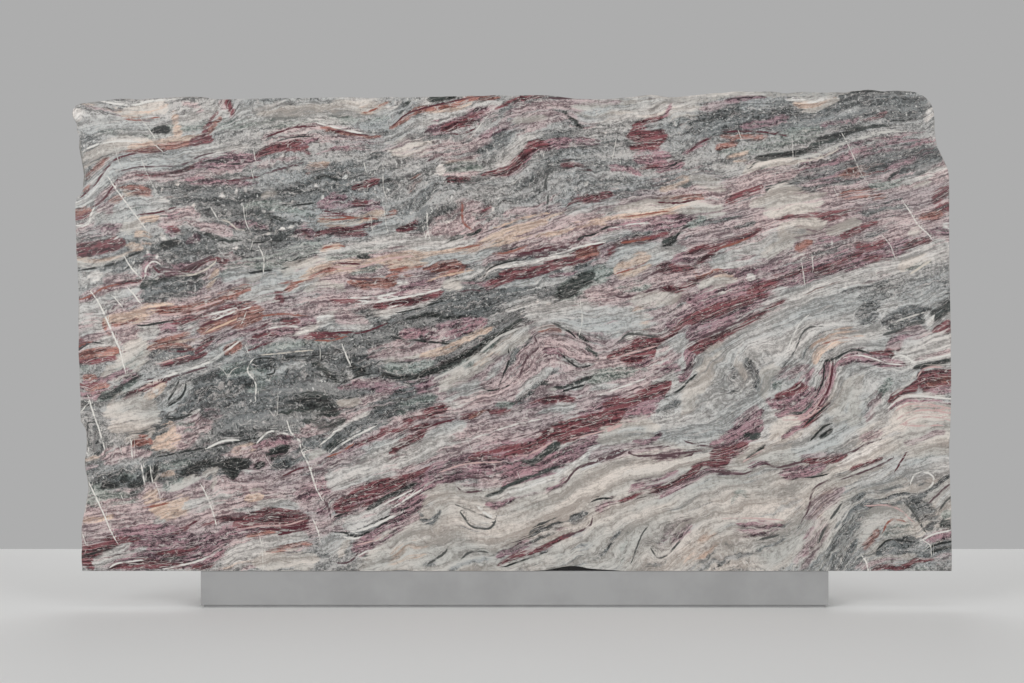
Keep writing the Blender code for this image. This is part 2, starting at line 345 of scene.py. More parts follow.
TOP_RIGHT_BEDS = read_beds("""
SLATE 16 0.85 690,130 735,122 830,114 880,104 926,108
MOSS 8 0.6 720,152 755,147 820,130
PLUM 5 0.6 740,127 770,122 788,117
ROSE 5 0.8 700,108 718,104 738,103
SLATE 2.4 0.9 712,119 722,112 746,103
CHALK 2.4 1 604,96 690,94
CHALK 3.6 1 645,95 690,92 730,93 768,96
PLUM 2 0.9 722,101 755,97.5 766,98
PEACH 4 0.8 794,104 810,105 824,103 836,97
CREAM 2.2 0.9 798,110 815,109 838,99
CHALK 2.4 0.9 786,99 812,100 834,96
OXBLOOD 3 0.6 860,121 873,119 887,112
PLUM 5 0.4 822,126 842,124 858,118
OXBLOOD 1.5 0.8 724,132 745,131 765,132 786,136
BRICK 3.5 0.8 720,136 748,138 767,137
BRICK 4 0.9 716,149 724,145 738,142
PEACH 1.8 0.9 726,158 748,152
PEACH 2 0.8 733,161 748,160
PEARL 6 0.9 712,166 730,172 747,167
PLUM 3 0.8 682,156 708,139
OXBLOOD 1.5 0.7 687,153 700,143 710,138
INK 3 1 755,159 768,156 808,152 822,149 832,145
INK 4.5 0.9 810,147 825,141 840,137 864,127
INK 2 0.8 862,129 875,126 895,128
ASH 8 0.9 795,164 865,140 900,134 936,132
PEARL 1.6 0.9 795,159 818,154 832,147 865,137 885,132 905,131
CREAM 1.2 0.8 800,162 822,157 840,148
CREAM 4 1 744,173 757,166 798,161
MOSS 2.5 0.5 760,169 780,164
SLATE 1.5 0.8 749,169 757,162 767,160
PLUM 12 0.6 800,170 840,160 880,148 935,142
ROSE 6 0.7 745,187 770,180 800,176
PLUM 10 0.6 800,176 858,182
INK 3.5 0.85 766,191 775,184 800,180
CREAM 4.5 1 768,194 782,190 802,189
OXBLOOD 3.6 1 725,203 762,185
CREAM 6 0.9 750,205 775,199 800,198 826,194
CREAM 8 0.6 688,176 705,181 724,190
PEACH 6 0.6 660,191 688,178
BRICK 4 0.9 656,199 670,200 704,196
OXBLOOD 1.6 0.8 658,202 675,203 695,200
BRICK 5 0.8 832,176 868,168 888,165
PLUM 2.2 0.8 831,177 843,171
OXBLOOD 3 0.9 870,174 922,151
BRICK 6 0.6 840,196 860,192 886,195
PLUM 7 0.7 888,166 910,160 932,149
SLATE 14 0.55 795,182 840,172 885,160 938,150
INK 2 1 888,181 892,175 897,171
SLATE 6 0.8 900,176 915,170 930,161 942,157
MOSS 5 0.8 868,184 890,186 912,184
PEARL 3.4 0.9 903,182 925,178 936,171 947,167
CREAM 3.5 0.9 913,188 930,182
ROSE 7 0.6 878,201 930,192
OXBLOOD 6 0.8 934,203 948,188
INK 1.3 0.8 853,92 870,91 884,92
INK 2.5 0.7 884,93 898,94 906,100
INK 1.6 0.9 892,121 904,121 913,118
CHALK 3.8 1 926,124 931,109
""")

# The band below it
UPPER_LEFT_BEDS = read_beds("""
PEARL 12 0.9 90,218 165,204
ROSE 6 0.8 94,208 106,207 112,213
BRICK 5 0.95 73,213 82,214 91,210
OXBLOOD 2.6 1 73,218 83,217 89,212
CHALK 1.3 0.9 76,225.5 88,224.5 90,216 94,208
ROSE 9 0.8 76,234 120,226
PLUM 3 0.6 100,230 108,227 118,231
OXBLOOD 1.3 0.9 138,215 160,212 175,207
PEACH 5 1 140,218 149,219 157,217
ROSE 9 0.8 160,224 180,218 200,214
PLUM 2.5 0.7 168,214 172,218 178,213
CREAM 6 0.8 122,230 140,226
PEACH 6 1 136,231 148,240 150,244
PEACH 4 0.9 126,245 144,250
OXBLOOD 7.5 1 73,249 112,245 124,242
CREAM 4 0.9 74,263 98,264 132,255
PEACH 2.6 0.9 74,258.5 96,260 114,258 128,253 142,250
INK 1.5 0.9 78,271 118,263 127,257 143,251
SLATE 9 0.9 96,276 145,258 180,252 200,246
PEARL 8 0.6 76,276 110,270
ROSE 5 0.7 104,279 125,275 138,274
CHALK 5 1 90,276.5 101,275
PEARL 8 0.8 78,308 115,294 138,288
ROSE 4 0.9 78,301 112,286 138,283
BRICK 1.2 0.8 78,300 90,296 103,288 118,284
OXBLOOD 1.8 0.9 116,284 140,281
PLUM 1 0.7 88,300 103,293 120,288
PLUM 9 0.7 143,275 152,264 175,272 195,268
CHALK 2.6 0.9 141,283 158,278
CHALK 1.2 0.8 145,277 146,268 153,261 160,264
OXBLOOD 1.5 0.9 150,262 158,272 166,275 178,275
OXBLOOD 2.4 1 178,272 190,269 207,259 214,257 222,262 229,261
PLUM 1.5 0.9 160,268 175,270 190,266 211,256
CREAM 1.2 0.8 176,276 195,274 208,268 216,261
INK 2.4 0.9 158,280 206,275
INK 4.5 1 141,287 150,285.5 158,282
CHALK 2.2 0.9 161,233 163,239 168,242 175,240
PLUM 4 0.7 164,228 170,231 174,236
OXBLOOD 2.6 1 168,228 174,229 180,233
INK 3.6 1 160,246 169,244.5 178,240
SLATE 8 0.85 182,232 205,245 215,255
PLUM 5 0.6 188,241 198,236
ROSE 5 0.95 196,226 222,230 231,237
INK 2.2 0.85 201,231 211,236 224,240 242,241
CREAM 1.1 0.8 221,220 229,222 236,229 244,230
SLATE 14 0.9 200,208 230,212 255,230 270,246 240,252
SLATE 12 0.9 250,205 280,232 310,238 300,250 260,262
MOSS 5 0.8 245,207 265,203 290,210 318,215
INK 4.5 0.5 240,213 258,214 294,223
PLUM 4 0.6 230,227 250,224 268,228
INK 1.4 0.8 284,205 298,205 314,203
PLUM 6 0.7 296,236 304,229 312,238
OXBLOOD 2.2 0.9 301,231 306,234 308,240
INK 1.4 0.8 252,243 287,240
MOSS 9 0.6 224,275 245,268 275,262 300,250 320,246
PEARL 6 0.7 222,280 240,273 256,272
INK 3 1 280,272 292,268 299,262 306,260
INK 1.6 0.9 250,273 271,270
SLATE 10 0.85 142,296 185,288 200,283
CREAM 9 0.9 232,292 255,284 330,262
PEARL 10 0.9 240,298 265,292 318,276
PEARL 5 1 262,279 273,272 280,278
PEACH 3 0.95 207,291 217,269
""")
UPPER_MIDDLE_BEDS = read_beds("""
PLUM 7 0.7 318,206 345,204 380,208
OXBLOOD 3 0.9 353,203 361,205 367,200
CHALK 2 0.7 322,212 362,209
OXBLOOD 1.2 0.9 324,211 340,214 352,213
PEACH 5.5 1 318,221 345,222 383,214
ROSE 2 0.8 320,215 345,215 368,213
BRICK 1.2 0.9 320,219 336,219.5 352,218 377,219
CREAM 2 0.7 322,225 340,226 360,223
OXBLOOD 2.2 1 328,228 350,229 382,222
OXBLOOD 3.4 0.8 316,236 328,232 367,233
BRICK 3 0.8 385,219 397,212
PEARL 9 0.8 375,236 392,226 402,236
OXBLOOD 3.2 1 397,230 406,228.5 420,223
SLATE 12 0.8 424,208 430,222 440,236
ROSE 13 0.7 430,232 452,226 482,206
SLATE 5 0.7 437,214 445,208 456,206
BRICK 1.6 0.7 462,203 463,222 472,230
OXBLOOD 4.5 0.6 483,218 491,204
SLATE 2.5 0.8 471,212 478,217 496,210 502,218
INK 2.4 1 446,241.5 463,236
INK 2.4 1 466,234.5 475,234 481,229
PEARL 8 0.9 320,256 345,250 375,245 405,242 440,247 475,240
MOSS 4 0.5 325,258 390,247
PEACH 3.4 0.8 321,251 330,247 341,246
BRICK 1.6 0.8 323,248 334,245 343,246
INK 2.2 1 358,256.5 369,257
PEACH 7 0.9 300,281 320,272 365,266 388,261 435,254
MOSS 3 0.6 350,274 368,271 384,266
ROSE 1.4 0.9 334,267 356,268 388,259 412,256
BRICK 2.4 0.95 307,280 320,273 338,267
OXBLOOD 1.3 0.9 338,263 360,264
PEACH 4 1 430,254 470,249 500,237 548,222
BRICK 1.3 0.8 452,249 480,245
PEACH 2.2 0.9 478,243 500,231 566,212
PEACH 2 0.8 484,249 535,236 572,229
PEACH 1.6 0.7 494,228 520,219 548,213
ROSE 4 0.7 505,213 562,205
PEARL 7 0.8 420,263 475,258 500,250
PEACH 5 0.9 388,268 428,263
BRICK 2.2 0.9 388,264 396,263 402,259
BRICK 1.6 0.9 390,270 422,266
BRICK 6 0.95 388,276 405,276 424,278
BRICK 7 1 422,275 434,271 463,267
OXBLOOD 1.8 0.9 424,274 436,268 470,265
PEACH 1.4 0.7 428,281 444,276 472,270
PEARL 5 0.8 458,279 470,275 482,268
ROSE 14 0.8 320,300 350,291 440,283
CREAM 5 0.6 305,290 325,285 345,290
BRICK 2.6 0.9 286,291 297,283
BRICK 1.6 0.8 280,283.5 304,281
OXBLOOD 4 0.7 276,293 283,302
BRICK 5 0.95 350,281 364,284 380,285 394,282
PLUM 1.6 0.9 347,278 372,280
PLUM 3.6 0.8 398,290 415,285 438,283
CHALK 4 0.6 398,280 408,283
PLUM 3 0.7 366,297 385,294 404,294
CHALK 1.6 0.7 350,298 375,297 398,292
INK 1 0.8 358,300 385,299.5 400,296
OXBLOOD 2 0.9 330,300 350,301 367,299.5
CHALK 1.5 1 358,304 400,298 442,289
OXBLOOD 5.5 1 374,306 392,306 408,303 442,292
CHALK 2.8 1 370,309 381,312 396,309 412,308 433,301
INK 1.1 0.9 396,313 412,310 442,301
CREAM 6 0.8 443,285 462,286
PLUM 1.8 0.8 460,284 480,283
PLUM 1.3 0.8 460,292 472,290 482,291
""")
UPPER_RIGHT_BEDS = read_beds("""
ROSE 6 0.7 485,262 530,247 560,240
PLUM 1.4 0.9 496,260 556,250
PLUM 1.3 0.9 534,258 568,252
OXBLOOD 1.7 0.9 519,254 576,242
BRICK 1.6 0.6 494,254 510,252 526,246
CHALK 3.2 1 481,281 487,273 495,268 532,262 575,252
INK 1.1 0.8 483,277 489,269 500,264 516,260
CHALK 1.3 0.9 550,255 566,252 578,247 604,242
OXBLOOD 4.6 1 500,274 540,269 598,253
BRICK 5.5 1 576,256 586,251 599,252
OXBLOOD 1.6 0.9 570,254 604,243
OXBLOOD 5.5 1 485,287 514,277
OXBLOOD 1.6 0.9 512,279 530,277 548,272
PLUM 5 0.6 480,284 490,287
PEARL 6 0.8 496,291 566,276
SLATE 7 0.7 478,300 500,297 530,296 552,290
PEARL 8 0.7 505,305 522,302 534,298
CHALK 3 1 563,270 573,269
PLUM 2 0.8 548,277 578,272
MOSS 9 0.9 556,296 612,268
INK 6.5 1 556,296 593,274
ROSE 8 0.9 550,226 575,218 600,212
PEARL 8 0.8 566,214 590,208 618,204
CREAM 9 0.8 618,210 650,206 690,206 722,212
PEACH 1.8 0.9 575,222 640,214 682,207 698,210
PEACH 2 0.9 620,218 640,217 660,213 682,211
BRICK 1 0.7 624,217 668,211
PEACH 2 0.8 548,235 592,224 606,224
OXBLOOD 3 0.8 663,213 673,216 684,216
PLUM 8 0.7 606,234 690,219
SLATE 5 0.6 598,241 652,231
CHALK 1.1 0.7 612,228 632,224 650,223
PEARL 4 0.6 590,240 610,235 630,232
INK 1.2 0.9 576,240 584,236 592,235 605,228 616,225
PLUM 1.6 0.9 556,248 568,246 582,239
PLUM 4 0.7 602,258 607,248
OXBLOOD 5 1 608,254 635,243 651,240
BRICK 1.6 0.7 622,243 650,238
OXBLOOD 2.2 0.9 650,237.5 669,233
PEARL 11 1 610,264 636,253 662,253 682,247
PEACH 9 1 615,273 628,269 648,256
BRICK 1 0.9 616,274 634,268 646,262
INK 4.4 1 662,245 670,242 675,238
INK 1.6 0.8 675,239 680,231 688,226
MOSS 4.5 0.9 686,227 704,218
ROSE 10 0.8 688,240 715,233 745,228 765,222
SLATE 6 0.6 700,226 755,222
PLUM 1.6 0.8 640,281 660,270 668,264
OXBLOOD 4.8 1 656,271 668,268 682,269 692,268
PLUM 5 0.8 672,262 683,257 694,259
OXBLOOD 2.4 1 692,268 722,246
OXBLOOD 3.4 0.9 688,253 700,248 726,243 742,238 752,234 761,228
BRICK 1.4 0.6 712,250 730,245 748,238
MOSS 7 0.5 716,258 752,243
PEARL 11 1 712,264 740,256 785,238
CREAM 7 0.8 762,256 792,240
PLUM 2.2 1 712,271 754,270 768,267 780,262
PLUM 3.6 0.9 726,276 757,273
CHALK 4 1 747,278.5 755,277
PLUM 4 0.5 764,272 798,266
CREAM 8 0.9 700,288 734,280
BRICK 2.4 0.9 695,272 698,279 716,270 724,271
PEACH 3 0.7 712,277 724,275 736,279
MOSS 3 0.7 728,289 745,283
ROSE 9 0.8 588,292 608,295 622,286
MOSS 6 0.6 614,286 630,287 650,284
PLUM 1.6 0.9 616,296 626,297 662,287
CREAM 8 0.8 632,302 680,294
OXBLOOD 3.6 0.9 662,289 676,289 697,281
PLUM 12 0.85 690,298 705,303 770,286
OXBLOOD 6 1 704,314 722,308 740,304 752,299
OXBLOOD 4.6 1 748,292 780,281
OXBLOOD 2.4 0.9 752,298 768,296
OXBLOOD 3 0.9 744,318 775,307 789,299
PEARL 7 0.6 776,292 790,290 800,286
PLUM 14 0.85 780,280 810,274 840,262 875,252 920,246
OXBLOOD 2.4 0.8 772,277 822,268 842,262
OXBLOOD 4 0.8 814,273 832,267 862,252
OXBLOOD 3 1 800,294 850,271
BRICK 3 0.6 798,297 849,277
PLUM 3 0.9 843,271 858,268 869,262
OXBLOOD 4 0.9 862,259 876,259 893,261
PLUM 2.6 0.9 878,264 890,264
CREAM 9 0.9 766,212 795,205 822,203
OXBLOOD 2.6 0.8 804,214 826,214 848,211 866,206
OXBLOOD 2 1 779,219.5 794,216.5 822,219 848,214
CREAM 10 1 780,236 800,228 824,224
PEARL 4 0.6 785,228 805,232
CREAM 5.5 1 826,232 860,221
SLATE 10 0.35 812,252 838,246 885,230
OXBLOOD 3 0.9 836,239 859,230 868,224 880,221
PLUM 2.4 0.9 815,242 828,239 840,239
OXBLOOD 4 0.8 856,243 867,248 880,244 887,240
BRICK 5 0.7 796,249 811,242
CHALK 2.4 1 792,256.5 807,254
SLATE 9 0.7 862,212 885,212 908,208
ROSE 8 0.7 880,222 902,216 918,210
OXBLOOD 5 0.9 932,218 942,209 950,206
BRICK 3.4 1 920,217 942,213
CHALK 5 1 943,225 948,228
PLUM 5 0.7 928,233 940,231 948,234
CREAM 5 0.8 908,234 922,229
OXBLOOD 5 0.9 902,251 930,241
PEARL 12 1 893,270 915,262 950,246
CREAM 6 0.9 898,268 928,257
MOSS 2.6 0.6 905,270 930,262
CREAM 1.4 1 910,274 930,261
PEARL 7 0.9 850,280 882,267 898,262
ASH 11 0.9 860,298 950,270
PEARL 12 1 788,302 815,293 862,283
SLATE 2.4 0.8 842,292 888,281
SLATE 1.8 0.8 860,296 876,290 889,283
""")

# The band across the middle and below
MIDDLE_LEFT_BEDS = read_beds("""
PEARL 9 0.8 74,318 96,316 104,326
PEARL 5 0.7 76,333 100,332 112,338
PEACH 7.5 1 103,324 132,318 150,310 172,306
BRICK 2.4 0.7 110,324 124,325 138,318
BRICK 2.4 0.7 103,322 106,331 111,335
ROSE 6 0.8 113,334 142,330
ROSE 2.4 0.7 84,338 102,334
OXBLOOD 2.8 0.9 73,341 85,341
BRICK 1.6 1 76,348 93,341
INK 1.1 0.9 76,352 86,345 92,342.5 102,343.5
PEARL 5.5 1 82,352 116,343
BRICK 5 0.95 76,358 112,352 120,354
PEACH 2 0.6 90,354 104,356 116,352
OXBLOOD 2.8 0.95 74,363 118,358
MOSS 4 0.7 78,372 90,368
CREAM 10 0.95 104,374 122,367 136,355 143,342
MOSS 5 0.5 112,372 130,364 142,350
CREAM 5 1 126,349 142,336
BRICK 4 0.7 82,378 96,376
PLUM 11 0.7 80,392 108,387 136,377
BRICK 6 0.5 86,388 108,386
OXBLOOD 1.8 0.9 78,384 88,385.5 97,382
MOSS 4.5 0.9 98,400 143,380
INK 2.8 0.9 99,399 112,393 122,386
INK 1.6 0.9 122,385 143,374.5
PEARL 4.5 1 132,389 150,378 206,360 223,348 242,338
CHALK 1.6 0.8 150,381 207,363 238,342
PLUM 1.3 0.9 147,380 174,376 206,367
OXBLOOD 3.2 1 122,400 147,388 172,378
ROSE 1.4 0.8 140,389 160,381
INK 1.3 0.9 137,325.5 148,325 173,320
PEARL 6 0.8 138,333 150,331 158,332
PLUM 4.5 0.9 160,329 168,326 175,330
BRICK 5 1 157,311 178,311 200,306 250,288
ROSE 1.4 0.9 158,315 180,313 222,300
OXBLOOD 3.4 1 171,322 183,322 216,311 256,303
CHALK 1.4 0.8 205,316 236,308
BRICK 6 1 198,332 242,314 262,309
OXBLOOD 1.6 0.9 200,327 214,321 248,310
PEACH 1.2 0.9 204,333 236,319
CHALK 1.2 0.8 214,320 230,313 250,307
PEARL 4 0.8 184,332 199,325
BRICK 3 0.9 154,344 190,334
PEACH 2 1 148,347 203,338
BRICK 3 1 148,349 165,347 180,347 194,350
OXBLOOD 3.6 0.9 196,354 212,337
PLUM 2.2 0.9 216,343 228,336 242,332 258,330
OXBLOOD 1.5 0.9 168,351 182,351.5 195,350
SLATE 5 0.8 150,356 192,354
OXBLOOD 3 0.95 158,367 175,363 206,353
ROSE 1 0.9 158,364 189,355
BRICK 5 1 225,352 241,344
PEARL 10 0.8 160,408 190,384
SLATE 22 0.9 205,388 240,392 280,386 320,384
INK 1.6 0.8 167,403 179,381
INK 1.5 0.8 169,406 182,396 186,384
INK 1.3 0.9 168,419 180,418 202,410
CHALK 2.2 1 189,416 199,410
PEACH 3.4 0.8 143,399 155,393 165,385
CREAM 14 1 106,414 125,413 146,416 156,420
SLATE 7 0.8 79,404 94,410 101,426
PLUM 5 0.5 203,413 222,415
MOSS 9 0.7 222,372 246,368 264,380 250,392
""")
MIDDLE_BEDS = read_beds("""
PLUM 8 0.7 250,341 270,334 290,330 312,334
BRICK 5 0.8 232,326 262,314
OXBLOOD 1.6 0.9 238,331 255,329 269,323
OXBLOOD 3 1 281,321 290,322 299,321
BRICK 1.4 0.7 262,316 285,314 305,316
CHALK 1.4 0.7 268,329 282,326 298,327
CHALK 2.8 1 294,335 318,326
CHALK 5.5 0.95 317,322 340,314
ROSE 6 0.9 336,315 368,324
CHALK 4 0.8 354,317 370,313 386,317 398,312
PEARL 4 0.8 320,328 345,328 370,326
PLUM 2.2 0.8 301,319 309,318 315,322
OXBLOOD 1.3 0.9 322,334 345,332 362,332.5 388,323
OXBLOOD 3.8 1 304,337 338,336
BRICK 1.2 0.8 316,340.5 332,340.5 346,336
OXBLOOD 1.5 0.9 247,351 274,340
OXBLOOD 2.2 0.8 252,338 265,335 277,335
MOSS 5.5 0.7 258,352 285,346 310,345 338,347
SLATE 9 0.95 252,362 345,355
INK 1.1 0.8 250,361 262,358 280,358 332,354
CREAM 0.9 0.7 262,355 312,350
PEARL 5.5 0.8 272,373 304,362
INK 1.1 0.8 262,369 268,366 275,368 274,373 266,375
SLATE 9 0.9 306,372 322,372 340,378
INK 4.5 1 313,363 323,370 331,378 340,382
INK 4 0.9 352,364 357,373 364,366
PEARL 3 0.6 343,362 352,380
INK 1.3 0.7 340,384 356,377 375,373
ROSE 12 0.9 368,354 392,350 418,351 438,344
CREAM 6 0.6 380,360 400,356 420,358
MOSS 5 0.8 384,369 420,368 434,362
INK 2.4 1 381,373 392,377 408,378 422,374 434,367
SLATE 8 0.9 334,346 384,337 398,330
SLATE 8 0.9 386,327 434,318 462,318 482,314
INK 2.4 0.8 404,320 418,316 434,315 452,318 470,317
PLUM 8 0.8 402,333 432,334 484,322
ROSE 3 0.7 438,338 449,324
INK 1.6 0.8 394,338 450,344
PEACH 4 0.85 422,355 445,350 476,334 492,329
PLUM 7 0.7 340,388 368,385 425,391
ROSE 3 0.7 350,380 400,383
CREAM 4 0.8 338,402 350,404 359,401
INK 11 0.55 282,411 308,406 336,412
INK 4.5 0.7 296,399 316,397 330,404
INK 5.5 0.7 300,422 325,426 345,420
INK 7 0.6 242,386 270,396
SLATE 9 0.9 352,432 372,420 402,408 434,398
INK 4 0.7 374,408 386,405 414,391
CHALK 2.8 0.9 333,431 370,412
MOSS 5 0.8 440,371 462,361 500,338
INK 4 0.85 430,372 446,366 471,354 483,345 509,329 520,319
CREAM 8 0.95 448,384 490,358 508,344 528,332
PEARL 1.6 1 434,379 468,362 492,342 505,334 522,327
PEARL 6 0.7 500,344 528,326
MOSS 4 0.9 484,351 494,345
MOSS 3 0.8 462,366 473,362
PEACH 3 0.8 473,368 484,360 500,352
CREAM 7 0.9 440,390 466,373
PLUM 5 0.5 412,391 436,378
SLATE 6 0.8 392,396 416,389
MOSS 7 0.5 396,412 416,403 436,397
PEARL 12 0.9 448,402 492,380
ROSE 5 0.5 452,394 470,402 486,396
OXBLOOD 4 1 424,414 446,408
OXBLOOD 2 0.9 403,421 415,418 452,418
OXBLOOD 2.6 0.9 410,430 430,424.5 452,422
OXBLOOD 2.8 1 459,418 480,412
BRICK 2 1 469,419 488,408
OXBLOOD 3.2 1 487,411 497,413 512,409
ROSE 10 0.8 482,384 494,374 506,358
PEARL 4 0.6 488,376 500,364 508,350
INK 1.1 0.9 482,388 492,390.5 514,384
SLATE 3.4 0.9 514,348 514,358 508,366
INK 1.3 0.9 508,350 509,360 500,382
ROSE 4.5 0.8 518,356 535,342
PLUM 1.5 0.9 535,338 538,348 530,354 524,363 520,374
ROSE 10 0.9 506,394 524,380 540,362 556,348
PEARL 4 0.8 516,398 550,368
SLATE 3.4 0.85 514,404 528,396 537,386 546,379
MOSS 3 0.8 496,405 514,404
""")
MIDDLE_RIGHT_BEDS = read_beds("""
PEARL 16 0.95 530,312 570,318 610,322 650,320
PEACH 7 0.4 636,306 642,318 652,326
BRICK 6 0.55 540,330 552,329 560,334
PLUM 6 0.6 542,348 556,350 566,354
ROSE 9 0.8 562,340 578,348 592,358
INK 1.4 0.9 552,323 568,331 575,337
INK 2.2 0.85 578,334 598,358
INK 1.1 0.9 559,352 568,361 578,367 588,366 596,362
CHALK 4 0.95 626,338 632,337
SLATE 1.6 0.8 620,341 628,334 645,335 662,338
OXBLOOD 5 1 608,359 626,350 646,344 668,342
OXBLOOD 4.5 1 632,344 648,341 664,342
OXBLOOD 6.5 1 622,359 640,356 654,350
PLUM 4 0.9 632,365 644,363 650,357
ROSE 1.1 0.8 610,359 656,346
PLUM 6 0.7 668,330 678,320 690,312
OXBLOOD 2.8 1 660,343 672,335 681,325 706,313
ROSE 5 0.8 594,364 642,369
OXBLOOD 5.5 1 688,322 724,309
PLUM 9 0.85 686,336 734,321 760,310
OXBLOOD 5 1 686,350 721,338 738,329 750,320 764,313
PLUM 1.6 0.9 690,341 736,323 752,313
PEARL 7 0.9 658,354 683,336
ROSE 11 0.85 648,372 678,356
PLUM 6 0.7 662,370 675,369 684,380
PLUM 4 0.95 686,350 690,362 687,372 680,382
ROSE 12 0.9 560,412 592,402 650,378
CHALK 1.3 0.7 600,395 644,379
PLUM 1.1 0.8 600,399 622,394 640,386
MOSS 5 0.8 588,381 614,375 648,370
INK 1.8 0.9 540,384 549,384 557,388 592,377
INK 1.4 1 563,391 584,385
CREAM 2.6 0.8 544,388 556,390
OXBLOOD 3.2 1 528,405 545,400 560,398.5 574,400
PLUM 3 0.7 524,408 536,405 545,406
PEARL 6 0.8 528,417 574,405
PLUM 13 1 575,428 604,414 634,408 660,398
OXBLOOD 6.5 1 604,405 630,402 670,384
SLATE 5 0.7 656,416 681,402
INK 1.5 0.9 666,397 678,391 696,374
CREAM 12 0.9 684,412 698,386 714,362 728,346
PEARL 11 0.9 708,424 722,392 728,362
PEARL 22 0.95 728,352 792,324 824,312
SLATE 5 0.6 748,360 754,374 757,390
CHALK 1.8 0.9 734,364 742,341
CREAM 3.4 0.8 736,362 746,379
SLATE 5 0.5 730,396 734,368
SLATE 1.1 0.7 782,368 790,358 797,346 801,335 808,328 822,326
CHALK 1.1 0.6 786,352 798,326 808,315
CREAM 6 0.9 764,398 764,384 768,372 780,371
ROSE 6 0.8 776,378 792,373 808,366
MOSS 5 0.7 774,388 780,384
PLUM 3 0.8 806,382 812,374 820,370
PLUM 11 1 776,404 796,402 814,390
OXBLOOD 5 0.9 774,398 806,387
PLUM 7 1 776,413 798,413 815,401
PLUM 7.5 1 828,361 827,380 821,398 810,412 792,418
INK 1.8 1 790,413.5 801,412 809,406 815,398
ROSE 0.8 0.6 782,415.5 802,415 816,406 824,392 829,376 831,362
OXBLOOD 1.5 1 833,361 831,378 827,392 818,406
INK 1.1 0.8 824,364 823,380 817,394
ROSE 1.4 0.8 784,420 804,418 820,409
OXBLOOD 3 0.9 829,402 810,421 800,428
INK 1.4 0.9 829,403 805,425
PEACH 6 0.8 813,362 817,347 830,340 846,334 864,336
PEACH 3 0.9 848,335 862,336
BRICK 1.2 0.6 820,345 836,340 852,338
PEARL 12 0.8 846,344 866,342 884,344
PLUM 5.5 1 838,364 852,356 870,357 906,366
INK 1.6 1 822,361 834,359.5 845,353 856,350 874,355
CHALK 1 0.8 844,358 858,355 872,358 886,363 904,365
OXBLOOD 2.2 1 869,353 881,352 894,356
OXBLOOD 3 0.9 884,352 897,347 901,352
CHALK 1.4 1 892,358 900,355 908,358 914,363
CREAM 17 1 858,380 838,420
PEARL 12 0.7 862,374 872,390 868,412
PLUM 5 0.9 767,401 777,404
PLUM 8 1 736,432 761,411
ROSE 3 0.9 740,420 749,412 758,407
CREAM 7 1 778,427 789,423 799,427
MOSS 4.5 0.8 879,400 890,378
ROSE 5 0.6 867,421 873,405 880,392
SLATE 9 0.9 862,322 868,312 876,306
SLATE 9 0.95 884,324 926,310
INK 2.2 0.9 884,334 900,331 913,324 927,322
PEARL 1.2 0.8 894,322 924,312
INK 6 0.9 928,319 953,304
OXBLOOD 7 0.75 934,331 952,324
CHALK 4.2 1 928,312 930.5,327
ROSE 8 0.8 888,346 908,337 928,332
PLUM 3 0.8 888,341 900,337 911,336
PEARL 9 0.9 902,352 922,346 950,341
ROSE 3 0.8 914,361 952,350
CHALK 1.4 0.8 912,363 952,354
INK 2.2 1 913,368 953,360
OXBLOOD 6.5 1 890,401 917,384
OXBLOOD 11 1 918,382 934,380 954,374
BRICK 3 0.6 925,385 953,378
ROSE 1.1 0.8 918,376 925,368 945,367
PEARL 7 0.9 896,385 906,378 906,370
CHALK 1.8 0.9 908,363 914,371 911,381 892,396
PLUM 4 0.6 925,394 953,390
CREAM 18 1 896,418 918,414 952,416
PLUM 1.8 0.9 886,412 896,404 908,400 930,400 953,404
CHALK 1.3 0.9 888,408 899,399 915,396 953,399
ROSE 1.1 0.8 894,412 906,405 926,404 953,409
ROSE 1.3 0.8 897,419 910,412 930,410 953,414
ROSE 1.1 0.8 900,425 915,418 935,417 953,421
""")

